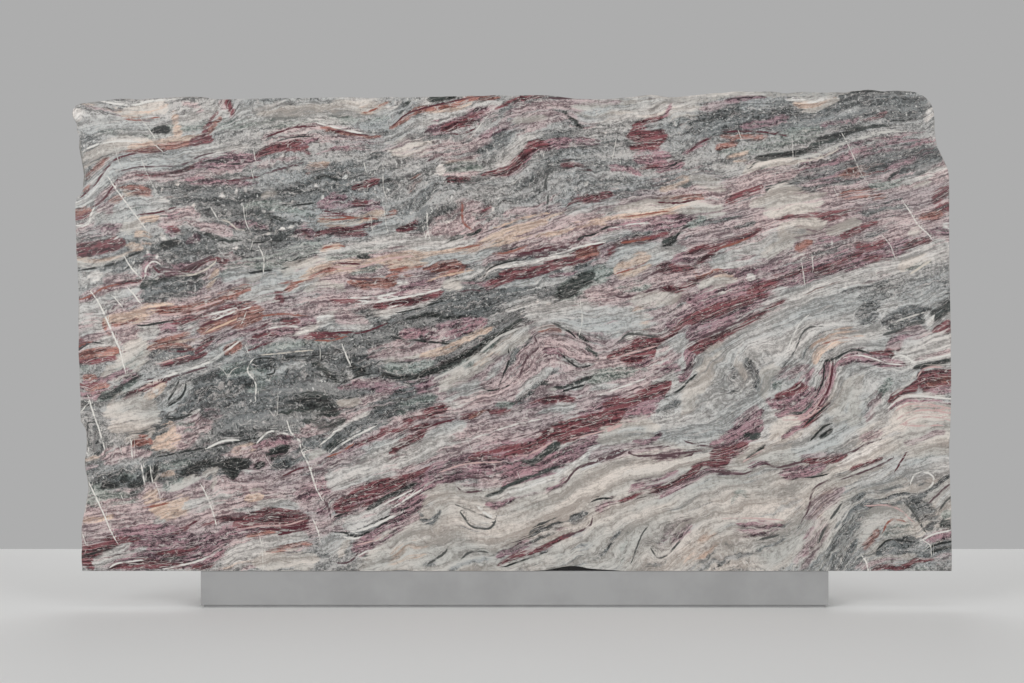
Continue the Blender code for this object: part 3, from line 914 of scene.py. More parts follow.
# The band along the foot
BOTTOM_LEFT_BEDS = read_beds("""
SLATE 9 0.85 84,424 95,440 103,456
CREAM 9 1 110,428 130,430 152,430
PEARL 4 0.6 110,448 118,434
ROSE 12 0.85 172,442 208,422
MOSS 6 0.5 178,426 194,424
PEACH 5 0.9 158,438 174,425
ROSE 8 0.85 102,457 125,454 150,453
PEACH 7 0.9 152,447 168,444 180,437
BRICK 4.5 0.95 133,445 142,442 151,443
SLATE 13 0.9 216,432 240,428 264,430 300,424
CHALK 1.4 1 207,448 223,441 238,440
SLATE 4 0.85 160,461 228,449
INK 1.3 0.9 157,457 262,437
PEACH 3 0.8 84,461 99,458
ROSE 2.2 0.8 84,470 97,466
SLATE 4 0.8 83,476 101,471
SLATE 11 0.95 96,482 120,477 170,470 195,467 220,466 250,462
MOSS 6 0.6 90,490 110,484 135,474
INK 4 1 101,488 109,486 117,487
INK 3.4 0.9 120,481 128,478
INK 4 0.8 128,486 143,484
INK 3.6 0.9 147,465 149,481
INK 2.6 0.9 156,465 153,481
CREAM 1.9 0.9 160,466 155,483
MOSS 4 0.8 160,466 192,461
PEACH 3.2 0.9 160,477 174,473
INK 4.2 0.85 181,475 201,465 213,463
INK 2.6 1 182,479 191,477 200,473
INK 2.2 0.9 207,467 238,459
CREAM 3.2 0.9 202,477 208,472 218,469
CREAM 2.6 0.85 215,471 214,482 211,490
INK 6 0.9 222,467 231,471 234,478
INK 4.5 0.8 237,462 247,466
CHALK 2.4 1 243,470 253,470
PEACH 5 0.9 232,452 256,446
MOSS 6 0.8 163,490 182,481
CREAM 4.5 0.9 170,493 184,485 199,479
MOSS 9 0.85 88,500 112,498 140,500
SLATE 5 0.6 130,496 143,488
ROSE 17 0.9 80,524 115,519 150,521 190,510 225,504
PEACH 8 1 146,502 152,493 156,490
PEACH 8 1 152,510 170,508 188,498
BRICK 1.5 0.7 144,508 168,503
PEACH 4 0.9 158,515 174,515 190,511
PEACH 5 0.6 82,520 112,515
PEARL 5 0.7 156,516 162,527
PEARL 9 0.7 184,508 206,500 228,496
PLUM 9 0.95 110,535 190,536
OXBLOOD 2 0.9 172,533 190,526
OXBLOOD 1.6 0.9 182,528 197,521
OXBLOOD 2.6 0.9 201,525 222,518 238,519 258,517
PLUM 7 1 220,534 238,530 258,530
OXBLOOD 4.5 0.8 79,544 100,543 120,540 140,541
PLUM 15 1 120,560 160,553 200,550 225,541
OXBLOOD 5 0.9 79,553 98,551 118,545
INK 1.7 0.9 79,558 101,551 112,549
OXBLOOD 4.5 1 79,562 88,563 92,568
PEARL 5 0.95 94,564 130,544
PEARL 3 0.8 118,557 147,547
OXBLOOD 3.4 1 156,553 176,553 200,547
INK 2 0.8 154,561 166,561 187,556
OXBLOOD 3.2 1 110,567 130,565 176,566 184,563
OXBLOOD 2 1 138,559 160,562
CHALK 1.1 0.9 109,568 118,563 143,560
CHALK 1.3 0.9 164,569 201,560 226,546
INK 1.2 0.9 188,562 204,558 228,543
OXBLOOD 3 0.8 193,568 212,566
PEARL 11 1 226,564 242,554 262,548
PEACH 2.4 0.5 222,569 240,563 258,560
""")
BOTTOM_BEDS = read_beds("""
PLUM 5.5 0.7 254,447 270,441 290,438
CHALK 1.3 0.9 257,443 262,437 272,431 291,435
SLATE 7 0.8 272,468 308,455
INK 5.5 0.95 266,457 277,454 288,448
INK 5 0.8 257,470 263,462
SLATE 6 0.9 302,446 313,445 322,440
CREAM 3.4 0.8 309,458 318,453 328,450
SLATE 8 0.9 324,448 362,426
INK 3 0.8 325,447 334,443 341,437
CHALK 1.4 0.9 321,444 338,430 350,423
PEARL 14 0.9 330,476 400,446
CHALK 1.3 0.9 331,452 345,442 375,426
CHALK 2.4 1 349,435 354,431 360,429
PLUM 4 0.7 338,458 362,443
BRICK 1.2 0.8 328,457 342,451 353,444
OXBLOOD 1.8 0.9 356,445 390,431
OXBLOOD 2.8 1 379,434 386,431 398,430
ROSE 5 0.6 322,470 365,452
ROSE 14 0.8 245,490 270,486 300,478 320,470
CREAM 5 0.5 250,488 262,490
OXBLOOD 1.2 0.8 283,476 298,469 312,466
PEACH 3.2 0.9 245,500 262,496
PLUM 9 0.6 298,497 312,489 328,492
PEARL 5 0.8 255,508 278,504 298,507
OXBLOOD 8 0.95 236,524 262,521 286,522 308,518
OXBLOOD 4.5 0.9 256,515 272,512 302,517
ROSE 1 0.9 238,529 262,526 286,525 306,519
BRICK 4 0.7 246,536 276,531
OXBLOOD 1.4 1 260,529 280,529 308,525
OXBLOOD 1.4 0.9 278,535 310,528
ROSE 8 0.7 310,524 322,520 334,521
PLUM 5 0.7 318,512 328,510
PLUM 1.6 0.9 325,501 329,510 330,517
PEARL 9 0.8 330,486 352,478 402,466
OXBLOOD 7 1 334,507 352,503 384,491
OXBLOOD 7 0.9 350,497 372,489 418,477 438,466
PLUM 2 0.7 345,505 368,500 390,490
INK 1.4 1 334,517 350,511
PLUM 8 0.9 384,508 402,500 418,490 430,479
PEARL 7.5 1 344,526 394,506
INK 2 1 367,510 382,500 401,492 418,482
CHALK 1.1 0.9 370,511 412,490
PLUM 10 0.95 354,550 375,541 392,528 398,516
INK 1.2 1 366,526 406,508 418,501
CHALK 1.7 1 352,532 370,527 402,512
INK 1.3 1 334,532 345,533 354,537 366,533 400,515
CHALK 1.6 0.8 342,536 352,539 360,537
INK 1.9 0.9 363,556 372,555 381,551
CHALK 1 0.8 358,556 367,551 378,548 390,542
ROSE 1 0.8 356,545 372,541 388,534
PEARL 9 0.9 324,550 340,536
CREAM 3.4 0.8 339,557 349,539
PEARL 10 1 236,554 258,546 304,536
CREAM 11 1 256,563 290,560 316,560
BRICK 2.2 0.7 266,552 285,548 300,543 312,545
PLUM 1.3 0.8 337,563 345,563 352,560 358,553
CREAM 20 1 370,568 398,556 430,548 470,545
PEACH 8 0.5 390,562 410,553 428,549
PEARL 12 1 400,462 462,425
OXBLOOD 3.6 1 390,453 397,447 423,435
OXBLOOD 3 0.95 396,432 404,426 414,421
OXBLOOD 3.2 1 417,437 429,425
OXBLOOD 1.4 0.9 430,426 454,419
ROSE 15 0.85 440,456 510,430 560,418
CHALK 1.2 0.6 450,446 510,426 540,419
PLUM 1 0.7 500,441 542,431
PLUM 13 1 430,474 460,468 520,452 550,440
OXBLOOD 7 1 540,438 560,429 600,418
OXBLOOD 5 0.8 470,458 495,455 520,449 545,440
ROSE 3 0.8 436,460 475,448
ROSE 1.1 0.8 440,472 465,464 500,462
PLUM 9 1 500,482 580,450
INK 3.4 1 521,460 532,460 550,449 560,441
ROSE 1.3 1 518,456 530,454 552,442
PLUM 1.3 0.9 448,481 462,476 476,478 488,477
ROSE 7 0.7 460,486 502,480
PLUM 1.3 1 458,488 464,492 482,491
PLUM 10 0.95 392,518 408,505 432,482
INK 1.2 1 391,515 402,511 420,499
CHALK 1.1 0.9 394,507 422,489
ROSE 3 0.8 400,526 424,512
CREAM 16 1 425,512 448,502 470,504 490,515
CREAM 14 0.9 420,536 450,540 480,542
CREAM 26 1 505,535 540,515 580,500
PEARL 5 0.8 424,508 432,503
SLATE 2.4 0.95 419,512 424,520 431,523 436,517 438,507
SLATE 1.5 0.9 460,512 471,526 487,529 493,525 496,518
SLATE 1.2 0.7 456,505 494,520
CHALK 1.7 1 478,507 483,512 491,517
INK 2 1 483,497 501,491 509,485 568,462
CHALK 2.2 0.8 484,500 531,486 572,467
PLUM 2.8 0.95 485,504 495,506 505,504 515,498
PLUM 2 0.95 544,489 555,487 570,477
ROSE 2 0.7 514,498 535,493 552,491
SLATE 1.6 0.9 428,564 443,554 447,549
SLATE 3.6 0.7 422,566 435,562
SLATE 1.5 0.9 461,559 468,553 476,551 487,552
PLUM 6 0.6 498,556 532,541
SLATE 7 0.6 530,541 546,531 562,525
OXBLOOD 2.6 1 498,565 512,558 541,548 572,533
INK 1.3 0.9 504,567 546,552
""")
BOTTOM_RIGHT_BEDS = read_beds("""
OXBLOOD 10 1 556,438 620,414
PLUM 6 1 560,456 612,430
ROSE 1 1 570,439 599,432 612,426
CREAM 24 1 570,505 600,484 640,470 690,468
CREAM 11 1 600,440 630,431 656,428
PEARL 5 0.6 618,432 645,430
ROSE 1.7 1 607,431 622,424
INK 3 1 552,450 559,443
PLUM 5.5 0.9 556,465 583,448
CHALK 2.4 0.8 556,480 591,450 602,445
ROSE 8 0.7 590,458 615,452 640,450 680,452
PLUM 1.5 0.9 554,490 564,484 579,467 606,460 622,454
PLUM 1.3 0.9 582,467 612,457 634,447
PLUM 1.2 0.9 598,459 620,449
PLUM 2.4 1 634,441 646,442 655,439 661,433
PLUM 1.3 0.8 640,449 668,446
PLUM 1.5 0.9 628,453 645,456 702,451
PLUM 1.3 0.9 650,459 670,458 692,455
PEARL 10 0.9 670,436 695,428 720,430
PLUM 1.2 0.9 683,440 690,443 712,447 724,447
INK 1.2 1 591,502 598,499 610,498
PLUM 6 0.5 596,509 616,500
SLATE 5.5 0.8 570,522 580,518 587,513
PLUM 8 0.5 630,492 655,486 680,474
PLUM 2.6 1 596,513 624,505
OXBLOOD 3.6 1 620,501 640,497 668,487 681,481 691,474 699,466
PLUM 2.8 0.9 618,509 640,503 673,490 704,473
OXBLOOD 2 0.9 689,473 698,465 707,464 717,467
PLUM 3 0.8 700,474 712,470 742,474
PLUM 11 1 714,456 745,433 760,424
OXBLOOD 5.5 0.9 712,453 728,451 748,445
OXBLOOD 4.5 1 708,462 720,463 728,461
INK 3.4 1 744,435 752,437 760,433
INK 2.2 0.9 746,460 765,446
ROSE 1.1 0.9 743,462 764,449
CREAM 9 0.95 772,438 784,429 798,423
PLUM 4 0.9 748,467 760,463 770,467
PLUM 1.4 0.9 713,471 741,474 752,471
PEARL 7 1 746,480 782,470
CREAM 24 1 722,504 802,488
CREAM 3.8 1 768,457 782,457 794,460
MOSS 3 0.6 731,503 739,492 748,499
ROSE 1.2 0.6 722,519 745,518 782,520
PEARL 9 0.8 780,511 800,501
PLUM 3 0.9 782,438 804,423
PEARL 14 0.8 796,448 825,444 855,436
INK 1.6 0.9 810,441 823,427 830,424
INK 1.8 0.9 832,428 828,433 820,438
PLUM 6 0.8 780,474 824,467
ROSE 2.4 0.8 800,456 822,456 842,454
PLUM 1.6 0.95 764,463 778,467 802,462
OXBLOOD 2.6 1 800,461 832,460 846,456
INK 1.1 0.9 793,480 802,477 814,477 828,474
ROSE 9 0.7 808,518 824,500 840,490
PEACH 8 0.4 810,516 832,492
PLUM 1.4 0.9 828,480 813,490 808,510 801,522
PEARL 14 0.8 862,482 905,462
CHALK 4 0.9 838,467 868,450 883,444
PLUM 1.5 0.9 838,457 856,450 868,443 880,439
ROSE 4 0.8 860,438 882,431
OXBLOOD 3 1 850,470 882,458
PLUM 1.4 0.9 842,479 876,467 892,458
SLATE 12 0.55 832,568 848,532 862,496
ROSE 8 0.6 798,568 812,545 824,518
PLUM 6 0.4 803,556 813,528
SLATE 1.7 0.8 819,541 826,526 841,504
CHALK 1.3 0.5 826,548 850,508
SLATE 2.2 0.9 841,570 856,541
PLUM 11 0.4 735,534 778,528
SLATE 1.7 0.8 759,540 778,535
CREAM 9 0.8 766,567 784,553 797,534
SLATE 2 0.8 711,570 729,561
SLATE 8 0.4 734,551 752,553
CREAM 18 1 590,535 625,520 665,506
ROSE 2 0.8 556,531 566,528 576,529
PLUM 1.4 0.9 553,541 587,528 592,519
SLATE 3.2 0.85 598,557 620,530
MOSS 5 0.5 618,562 630,531
SLATE 1.1 0.8 631,563 641,536 647,527
PLUM 11 0.4 660,548 672,533 690,521
SLATE 1.3 0.8 651,549 658,558 670,552 689,529
PEACH 12 0.45 682,562 700,549 714,532
CREAM 16 1 902,430 925,430 952,428
ROSE 1.1 0.8 904,425 920,426 942,425
ROSE 3.6 0.9 904,443 922,440 936,431 944,434
CREAM 7 1 912,454 930,449 950,450
MOSS 3 0.5 908,459 950,456
PEARL 11 1 905,473 952,463
OXBLOOD 1.2 1 906,453 895,471
CHALK 1.1 0.7 910,484 914,475 925,472 934,478 930,487 919,492
SLATE 12 0.7 912,506 925,514 930,526
SLATE 5 0.6 868,505 885,501 905,500 922,501
SLATE 2.2 0.95 884,499 900,494 912,496 925,494 934,488 942,480 952,474
PLUM 1.5 0.8 929,503 949,484
PEARL 3 0.8 936,508 944,497 953,489
SLATE 1.3 0.9 939,511 945,502 953,495
CREAM 9 0.8 872,516 890,512 906,516
SLATE 1.6 0.8 904,502 913,512 925,532
ROSE 1.2 0.7 866,506 885,505 900,510 912,521
MOSS 10 0.5 884,534 900,530 914,531
BRICK 1.4 0.7 883,531 888,522 895,519 904,521
BRICK 5 0.5 864,550 878,530
SLATE 9 0.9 878,552 896,547 916,544
INK 1.3 0.9 877,550 886,541 896,540 914,542
MOSS 4 0.9 942,515 952,512
INK 4 0.95 941,524 952,523
PLUM 4 0.7 923,541 936,536 953,533
CHALK 1.1 0.8 922,540 934,534 952,530
INK 1.6 1 928,549 938,544 954,541
INK 1.8 0.9 932,552 941,548 954,546
ROSE 4 0.7 934,561 944,557 954,557
CREAM 3 0.7 878,559 918,557
ROSE 4 0.8 856,568 880,563 908,561
OXBLOOD 1.9 1 872,571 882,567 895,569 905,567 914,563
OXBLOOD 1.8 0.9 911,561 934,560
MOSS 2.4 0.8 914,569 926,569
""")

ALL_BEDS = (
    GROUND_BEDS + TOP_LEFT_BEDS + TOP_MIDDLE_BEDS
    + TOP_RIGHT_BEDS + UPPER_LEFT_BEDS + UPPER_MIDDLE_BEDS
    + UPPER_RIGHT_BEDS + MIDDLE_LEFT_BEDS + MIDDLE_BEDS
    + MIDDLE_RIGHT_BEDS + BOTTOM_LEFT_BEDS + BOTTOM_BEDS
    + BOTTOM_RIGHT_BEDS
)

# Thin pale veins that cross the beds
WHITE_VEINS = read_beds("""
CHALK 0.7 0.6 139,105 144,112
CHALK 0.7 0.6 140,118 148,128 155,139
CHALK 0.7 0.6 155,145 163,152
CHALK 0.6 0.5 113,142 118,160 122,168
CHALK 0.9 0.95 108,177 120,195 133,212 148,232
CHALK 0.6 0.5 141,158 146,172 155,190
CHALK 0.7 0.6 363,160 367,175
CHALK 0.7 0.6 383,165 383,185 386,198
CHALK 0.7 0.6 253,147 255,160
CHALK 0.6 0.6 251,170 253,178
CHALK 0.7 0.6 470,138 480,125 488,115
CHALK 0.7 0.5 616,140 614,150 612,160
CHALK 0.7 0.5 738,130 741,139
CHALK 0.7 0.6 841,132 848,145 857,165 862,175 868,183
CHALK 0.6 0.5 819,142 820,150
CHALK 0.6 0.5 792,135 793,160
CHALK 0.6 0.5 833,187 838,197
CHALK 0.8 0.7 211,208 218,220
CHALK 0.9 0.95 124,256 131,268 140,277
CHALK 1.0 0.95 128,288 134,295 140,303
CHALK 1.1 1.0 91,292 97,300 103,312 107,321 114,337 119,348 122,360 125,371
CHALK 0.8 0.8 113,296 118,302 123,308
CHALK 0.7 0.6 243,205 245,220 250,232
CHALK 0.9 0.7 258,246 262,253 264,262 263,272
CHALK 0.6 0.5 253,240 250,250
CHALK 0.7 0.6 383,205 386,225 388,232
CHALK 0.7 0.6 371,217 372,230
CHALK 0.9 0.7 427,212 427,225 430,240
CHALK 0.7 0.6 422,226 426,240
CHALK 0.7 0.6 801,260 803,272 805,287
CHALK 0.7 0.6 812,255 813,270
CHALK 0.7 0.6 882,235 890,245 895,258
CHALK 0.9 0.8 903,202 910,212 918,225 926,232 931,238
CHALK 0.7 0.6 241,325 246,312
CHALK 0.7 0.6 245,345 249,355
CHALK 0.9 0.9 254,358 248,366 248,373 254,380 256,385 255,400
CHALK 0.6 0.5 216,366 222,369 227,376
CHALK 0.6 0.5 229,375 232,370 238,367
CHALK 0.9 0.8 342,345 346,355 350,365
CHALK 0.6 0.5 320,348 320,360
CHALK 0.6 0.5 269,410 274,417
CHALK 0.6 0.5 278,395 277,415
CHALK 0.7 0.6 580,300 582,320 578,338
CHALK 0.6 0.5 404,377 408,369
CHALK 1.0 0.95 88,396 92,410 99,430 104,448
CHALK 0.8 0.8 80,413 86,405
CHALK 0.7 0.7 87,440 89,455
CHALK 1.0 0.9 131,440 132,457
CHALK 0.6 0.6 119,444 121,452
CHALK 1.0 1.0 141,463 142,470 144,482
CHALK 0.8 0.8 150,465 151,475 153,484
CHALK 0.7 0.7 155,483 159,492 160,500
CHALK 0.9 0.9 201,485 207,497 213,513 216,525
CHALK 0.9 1.0 88,481 97,500 104,515 110,530 117,543
CHALK 0.7 0.7 81,530 86,545
CHALK 0.6 0.6 87,500 85,512
CHALK 0.7 0.6 121,495 124,503
CHALK 1.0 0.9 287,421 291,433 299,440 301,450 305,458 309,466 315,486 322,500
CHALK 0.6 0.6 297,437 298,447
CHALK 0.7 0.7 303,448 310,452
CHALK 0.9 0.8 312,518 315,524 318,532 320,542
CHALK 0.7 0.7 259,535 262,548 263,570
CHALK 0.6 0.5 265,456 271,466
CHALK 0.6 0.5 466,438 472,451
CHALK 0.6 0.5 517,471 519,478
CHALK 1.0 1.0 862,556 866,562 868,571
CHALK 0.7 0.7 922,540 930,545 931,555
""")

# Small angular fragments of white stone
SPECK_HALF_WIDTH = 2.4
WHITE_SPECKS = read_points("""
    186,196 222,195 177,185 162,190 245,189 236,190 194,205 300,208 264,211 291,227 268,234
    282,229 286,243 261,221 236,248 252,251 157,256 134,263 148,251 345,177 316,186 333,182
    282,155 322,197 292,200 302,208 116,238 447,222 473,214 493,208 537,301 548,304 522,313
    478,307 735,273 740,273 749,273 832,242 142,225 382,338 156,392 438,346 621,186 626,186
    605,133 602,183 586,183 106,219 118,218 125,216 206,303 723,293 845,288
""".split())


@dataclass(frozen=True)
class Picture:
    """Places on the slab's picture, as real lengths on the slab.

    Attributes:
        pixel: A pixel's real size.
        foot: The height of the slab's sawn edge.
    """

    pixel: float
    foot: float

    def to_pixels(self, across: Array, up: Array) -> tuple[Array, Array]:
        """Gives the pixels of places on the slab."""
        return across / self.pixel + OUTLINE_MIDDLE_PX, SAWN_EDGE_PX - (up - self.foot) / self.pixel


LATTICE_SIZE = 256
LAYER_WEIGHT = 0.6
LAYERED_GAIN = 2.6


def lattice_noise(x: Array, y: Array, seed: int) -> Array:
    """Smooth noise with one bump to a unit, from 0 to 1.

    Args:
        x: Places across.
        y: Places down.
        seed: Which noise.

    Returns:
        The noise at each place.
    """
    table = np.random.default_rng(seed).random((LATTICE_SIZE, LATTICE_SIZE))
    column, row = np.floor(x).astype(int), np.floor(y).astype(int)
    right, down = x - column, y - row
    right, down = right * right * (3 - 2 * right), down * down * (3 - 2 * down)
    column, row = column % (LATTICE_SIZE - 1), row % (LATTICE_SIZE - 1)
    above = table[row, column] * (1 - right) + table[row, column + 1] * right
    below = table[row + 1, column] * (1 - right) + table[row + 1, column + 1] * right
    return above * (1 - down) + below * down


def layered_noise(x: Array, y: Array, seed: int, layers: int = 3) -> Array:
    """Noise of several sizes, from about -1 to 1.

    Args:
        x: Places across.
        y: Places down.
        seed: Which noise.
        layers: How many sizes, each half as large as the one before.

    Returns:
        The noise at each place.
    """
    total, weight = np.zeros_like(x), 0.0
    for k in range(layers):
        total += (lattice_noise(x * 2**k, y * 2**k, seed + k) - 0.5) * LAYER_WEIGHT**k
        weight += LAYER_WEIGHT**k
    return total * LAYERED_GAIN / weight


def path_distance(x: Array, y: Array, path: Sequence[Point]) -> tuple[Array, Array, Array]:
    """Measures places against a path.

    Args:
        x: Places across.
        y: Places down.
        path: The path's points.

    Returns:
        The distance to the path, the share of the path's length at its nearest point, and the
        side: positive to the path's right as it runs.
    """
    points = np.asarray(path, float)
    steps = np.diff(points, axis=0)
    lengths = np.hypot(steps[:, 0], steps[:, 1])
    starts = np.concatenate([[0.0], np.cumsum(lengths)])
    best = np.full(x.shape, np.inf)
    share, side = np.zeros(x.shape), np.zeros(x.shape)
    for (ax, ay), (dx, dy), length, start in zip(points, steps, lengths, starts):
        t = np.clip(((x - ax) * dx + (y - ay) * dy) / (length * length), 0, 1)
        off_x, off_y = x - ax - t * dx, y - ay - t * dy
        gap = np.hypot(off_x, off_y)
        nearer = gap < best
        best = np.where(nearer, gap, best)
        share = np.where(nearer, (start + t * length) / starts[-1], share)
        side = np.where(nearer, np.sign(dx * off_y - dy * off_x), side)
    return best, share, side


def drawn(path: Sequence[Point], spacing: float = 6.0) -> list[Point]:
    """Draws a smooth curve through a path's points.

    Args:
        path: The points.
        spacing: About how far apart the curve's own points are, in pixels.

    Returns:
        The curve's points.
    """
    points = [np.asarray(p, float) for p in path]
    if len(points) < 3:
        return [tuple(p) for p in points]
    ends = [2 * points[0] - points[1], *points, 2 * points[-1] - points[-2]]
    curve = []
    for a, b, c, d in zip(ends, ends[1:], ends[2:], ends[3:]):
        count = max(1, round(float(np.hypot(*(c - b))) / spacing))
        for k in range(count):
            t = k / count
            place = 0.5 * (2 * b + (c - a) * t + (2 * a - 5 * b + 4 * c - d) * t**2
                           + (3 * b - a - 3 * c + d) * t**3)
            curve.append(tuple(place))
    return [*curve, tuple(points[-1])]


@dataclass
class Flow:
    """The coordinates that follow the stone's laminae: along them and across them.

    Attributes:
        paths: The lines that the laminae follow, with a weight each.
        left: The covered region's left side, in pixels, as are the next three.
        top: Its top.
        width: Its width.
        height: Its height.
        steps: The grids' cell sizes, in pixels, from coarse to fine.
        reach: How far a path pulls the flow about it at least, in pixels.
        stiffness: How strongly the coordinate across keeps to one value along the flow.
        stride: How far apart a path's pulls are laid, in pixels.
        rounds: The most rounds of the solver on one grid.
        tolerance: The error at which the solver is done.
    """

    paths: list[tuple[list[Point], float]]
    left: float = 56.0
    top: float = 72.0
    width: float = 912.0
    height: float = 512.0
    steps: tuple[int, ...] = (16, 8, 4, 2)
    reach: float = 7.0
    stiffness: float = 14.0
    stride: float = 3.0
    rounds: int = 220
    tolerance: float = 1e-9

    def __post_init__(self) -> None:
        """Solves both coordinates, from a coarse grid to a fine one."""
        along, across = None, None
        for step in self.steps:
            tangent = self.tangents(step)
            along = self.solve(along, tangent, step, False)
            across = self.solve(across, tangent, step, True)
        self.along, self.across, self.step = along, across, self.steps[-1]

    def tangents(self, step: int) -> Array:
        """The direction of flow in each cell of a grid.

        Args:
            step: The cell's size in pixels.

        Returns:
            Unit vectors, with the two parts first.
        """
        rows, columns = int(self.height / step), int(self.width / step)
        laid = np.zeros((2, rows, columns))
        for path, weight in self.paths:
            points = np.asarray(path, float)
            for (ax, ay), (bx, by) in zip(points, points[1:]):
                count = max(1, round(math.hypot(bx - ax, by - ay) / self.stride))
                at = (np.arange(count) + 0.5) / count
                column = ((ax + (bx - ax) * at - self.left) / step).astype(int)
                row = ((ay + (by - ay) * at - self.top) / step).astype(int)
                inside = (column >= 0) & (column < columns) & (row >= 0) & (row < rows)
                pull = weight / count
                np.add.at(laid[0], (row[inside], column[inside]), (bx - ax) * pull)
                np.add.at(laid[1], (row[inside], column[inside]), (by - ay) * pull)
        y, x = np.mgrid[-rows:rows, -columns:columns] * step
        kernel = (x * x + y * y + self.reach**2) ** -1.5
        spectrum = np.fft.rfft2(np.fft.ifftshift(kernel))
        padded = np.zeros((2, 2 * rows, 2 * columns))
        padded[:, :rows, :columns] = laid
        spread = np.fft.irfft2(np.fft.rfft2(padded) * spectrum, s=kernel.shape)[:, :rows, :columns]
        spread[0] += 1e-9
        return spread / np.maximum(np.hypot(*spread), 1e-12)

    @staticmethod
    def slope(values: Array, step: int) -> tuple[Array, Array]:
        """The slope in each cell of values on its corners.

        Args:
            values: One value a corner.
            step: The cell's size in pixels.

        Returns:
            The slope to the right and the slope down.
        """
        right = (values[:-1, 1:] + values[1:, 1:] - values[:-1, :-1] - values[1:, :-1]) / (2 * step)
        down = (values[1:, :-1] + values[1:, 1:] - values[:-1, :-1] - values[:-1, 1:]) / (2 * step)
        return right, down

    @staticmethod
    def gather(right: Array, down: Array, step: int) -> Array:
        """The transpose of slope.

        Args:
            right: One value a cell, for the slope to the right.
            down: One value a cell, for the slope down.
            step: The cell's size in pixels.

        Returns:
            One value a corner.
        """
        out = np.zeros((right.shape[0] + 1, right.shape[1] + 1))
        out[:-1, 1:] += right - down
        out[1:, 1:] += right + down
        out[:-1, :-1] -= right + down
        out[1:, :-1] += down - right
        return out / (2 * step)

    def solve(self, guess: Array | None, tangent: Array, step: int, across: bool) -> Array:
        """Finds the coordinate whose slope follows the flow, or stands across it.

        Args:
            guess: The coordinate on the grid before, which is twice as coarse.
            tangent: The direction of flow in each cell.
            step: The cell's size in pixels.
            across: True for the coordinate across the flow.

        Returns:
            The coordinate on the cells' corners, in pixels.
        """
        tx, ty = tangent
        wanted = (-ty, tx) if across else (tx, ty)
        rows, columns = tx.shape[0] + 1, tx.shape[1] + 1
        if guess is None:
            down, right = np.mgrid[0:rows, 0:columns] * float(step)
            value = down if across else right
        else:
            value = resample(guess, rows, columns)

        def push(values: Array) -> Array:
            """Applies the solver's matrix.

            Args:
                values: One value a corner.

            Returns:
                One value a corner.
            """
            right, down = self.slope(values, step)
            on = (right * tx + down * ty) * (self.stiffness - 1.0) if across else 0.0
            return self.gather(right + on * tx, down + on * ty, step)

        miss = self.gather(wanted[0], wanted[1], step) - push(value)
        heading, error = miss.copy(), float((miss * miss).sum())
        for _ in range(self.rounds):
            pushed = push(heading)
            length = error / max(float((heading * pushed).sum()), 1e-20)
            value = value + length * heading
            miss = miss - length * pushed
            fresh = float((miss * miss).sum())
            heading = miss + fresh / max(error, 1e-20) * heading
            error = fresh
            if error < self.tolerance:
                break
        return value

    def read(self, x: Array, y: Array) -> tuple[Array, Array]:
        """Reads both coordinates.

        Args:
            x: Places across, in pixels.
            y: Places down, in pixels.

        Returns:
            The coordinate along the laminae and the one across them.
        """
        column = np.clip((x - self.left) / self.step, 0, self.along.shape[1] - 1.001)
        row = np.clip((y - self.top) / self.step, 0, self.along.shape[0] - 1.001)
        return bilinear(self.along, column, row), bilinear(self.across, column, row)


def bilinear(grid: Array, column: Array, row: Array) -> Array:
    """Reads a grid between its points.

    Args:
        grid: The grid's values.
        column: Places across, counted in its columns.
        row: Places down, counted in its rows.

    Returns:
        The value at each place.
    """
    i, j = column.astype(int), row.astype(int)
    fx, fy = column - i, row - j
    return ((grid[j, i] * (1 - fx) + grid[j, i + 1] * fx) * (1 - fy)
            + (grid[j + 1, i] * (1 - fx) + grid[j + 1, i + 1] * fx) * fy)


def resample(grid: Array, rows: int, columns: int) -> Array:
    """Stretches a grid to another number of points each way.

    Args:
        grid: The grid's values.
        rows: The new grid's rows.
        columns: Its columns.

    Returns:
        The new grid.
    """
    row, column = np.mgrid[0:rows, 0:columns].astype(float)
    row *= (grid.shape[0] - 1.001) / (rows - 1)
    column *= (grid.shape[1] - 1.001) / (columns - 1)
    return bilinear(grid, column, row)


def tapered(share: Array, speed: float, tip: float) -> Array:
    """How thick a bed is along its path, as a share of its greatest thickness.

    Args:
        share: The share of the path's length at each place.
        speed: How fast its ends grow to the full width.
        tip: Its thickness at its very ends.

    Returns:
        The share of the greatest thickness at each place.
    """
    return tip + (1 - tip) * np.clip(np.minimum(share, 1 - share) * speed, 0, 1) ** 0.5


def rightward(curve: list[Point]) -> list[Point]:
    """Turns a curve so that it runs to the right or upwards."""
    (ax, ay), (bx, by) = curve[0], curve[-1]
    return curve if 0.8 * (bx - ax) - 0.6 * (by - ay) >= 0 else curve[::-1]


def near_curve(x: Array, y: Array, curve: Sequence[Point], reach: float) -> Array:
    """Finds the places inside the box around a curve.

    Args:
        x: Places across.
        y: Places down.
        curve: The curve's points.
        reach: How far the box stands out around them.

    Returns:
        The places' numbers.
    """
    points = np.asarray(curve)
    low, high = points.min(0) - reach, points.max(0) + reach
    return np.flatnonzero((x > low[0]) & (x < high[0]) & (y > low[1]) & (y < high[1]))


@dataclass(frozen=True)
class Raggedness:
    """One size of unevenness in the beds' edges, in pixels along and across the laminae."""

    along: float
    across: float
    seed: int
    weight: float

    def at(self, along: Array, across: Array) -> Array:
        """The unevenness at places along and across the laminae."""
        return layered_noise(along / self.along, across / self.across, self.seed) * self.weight


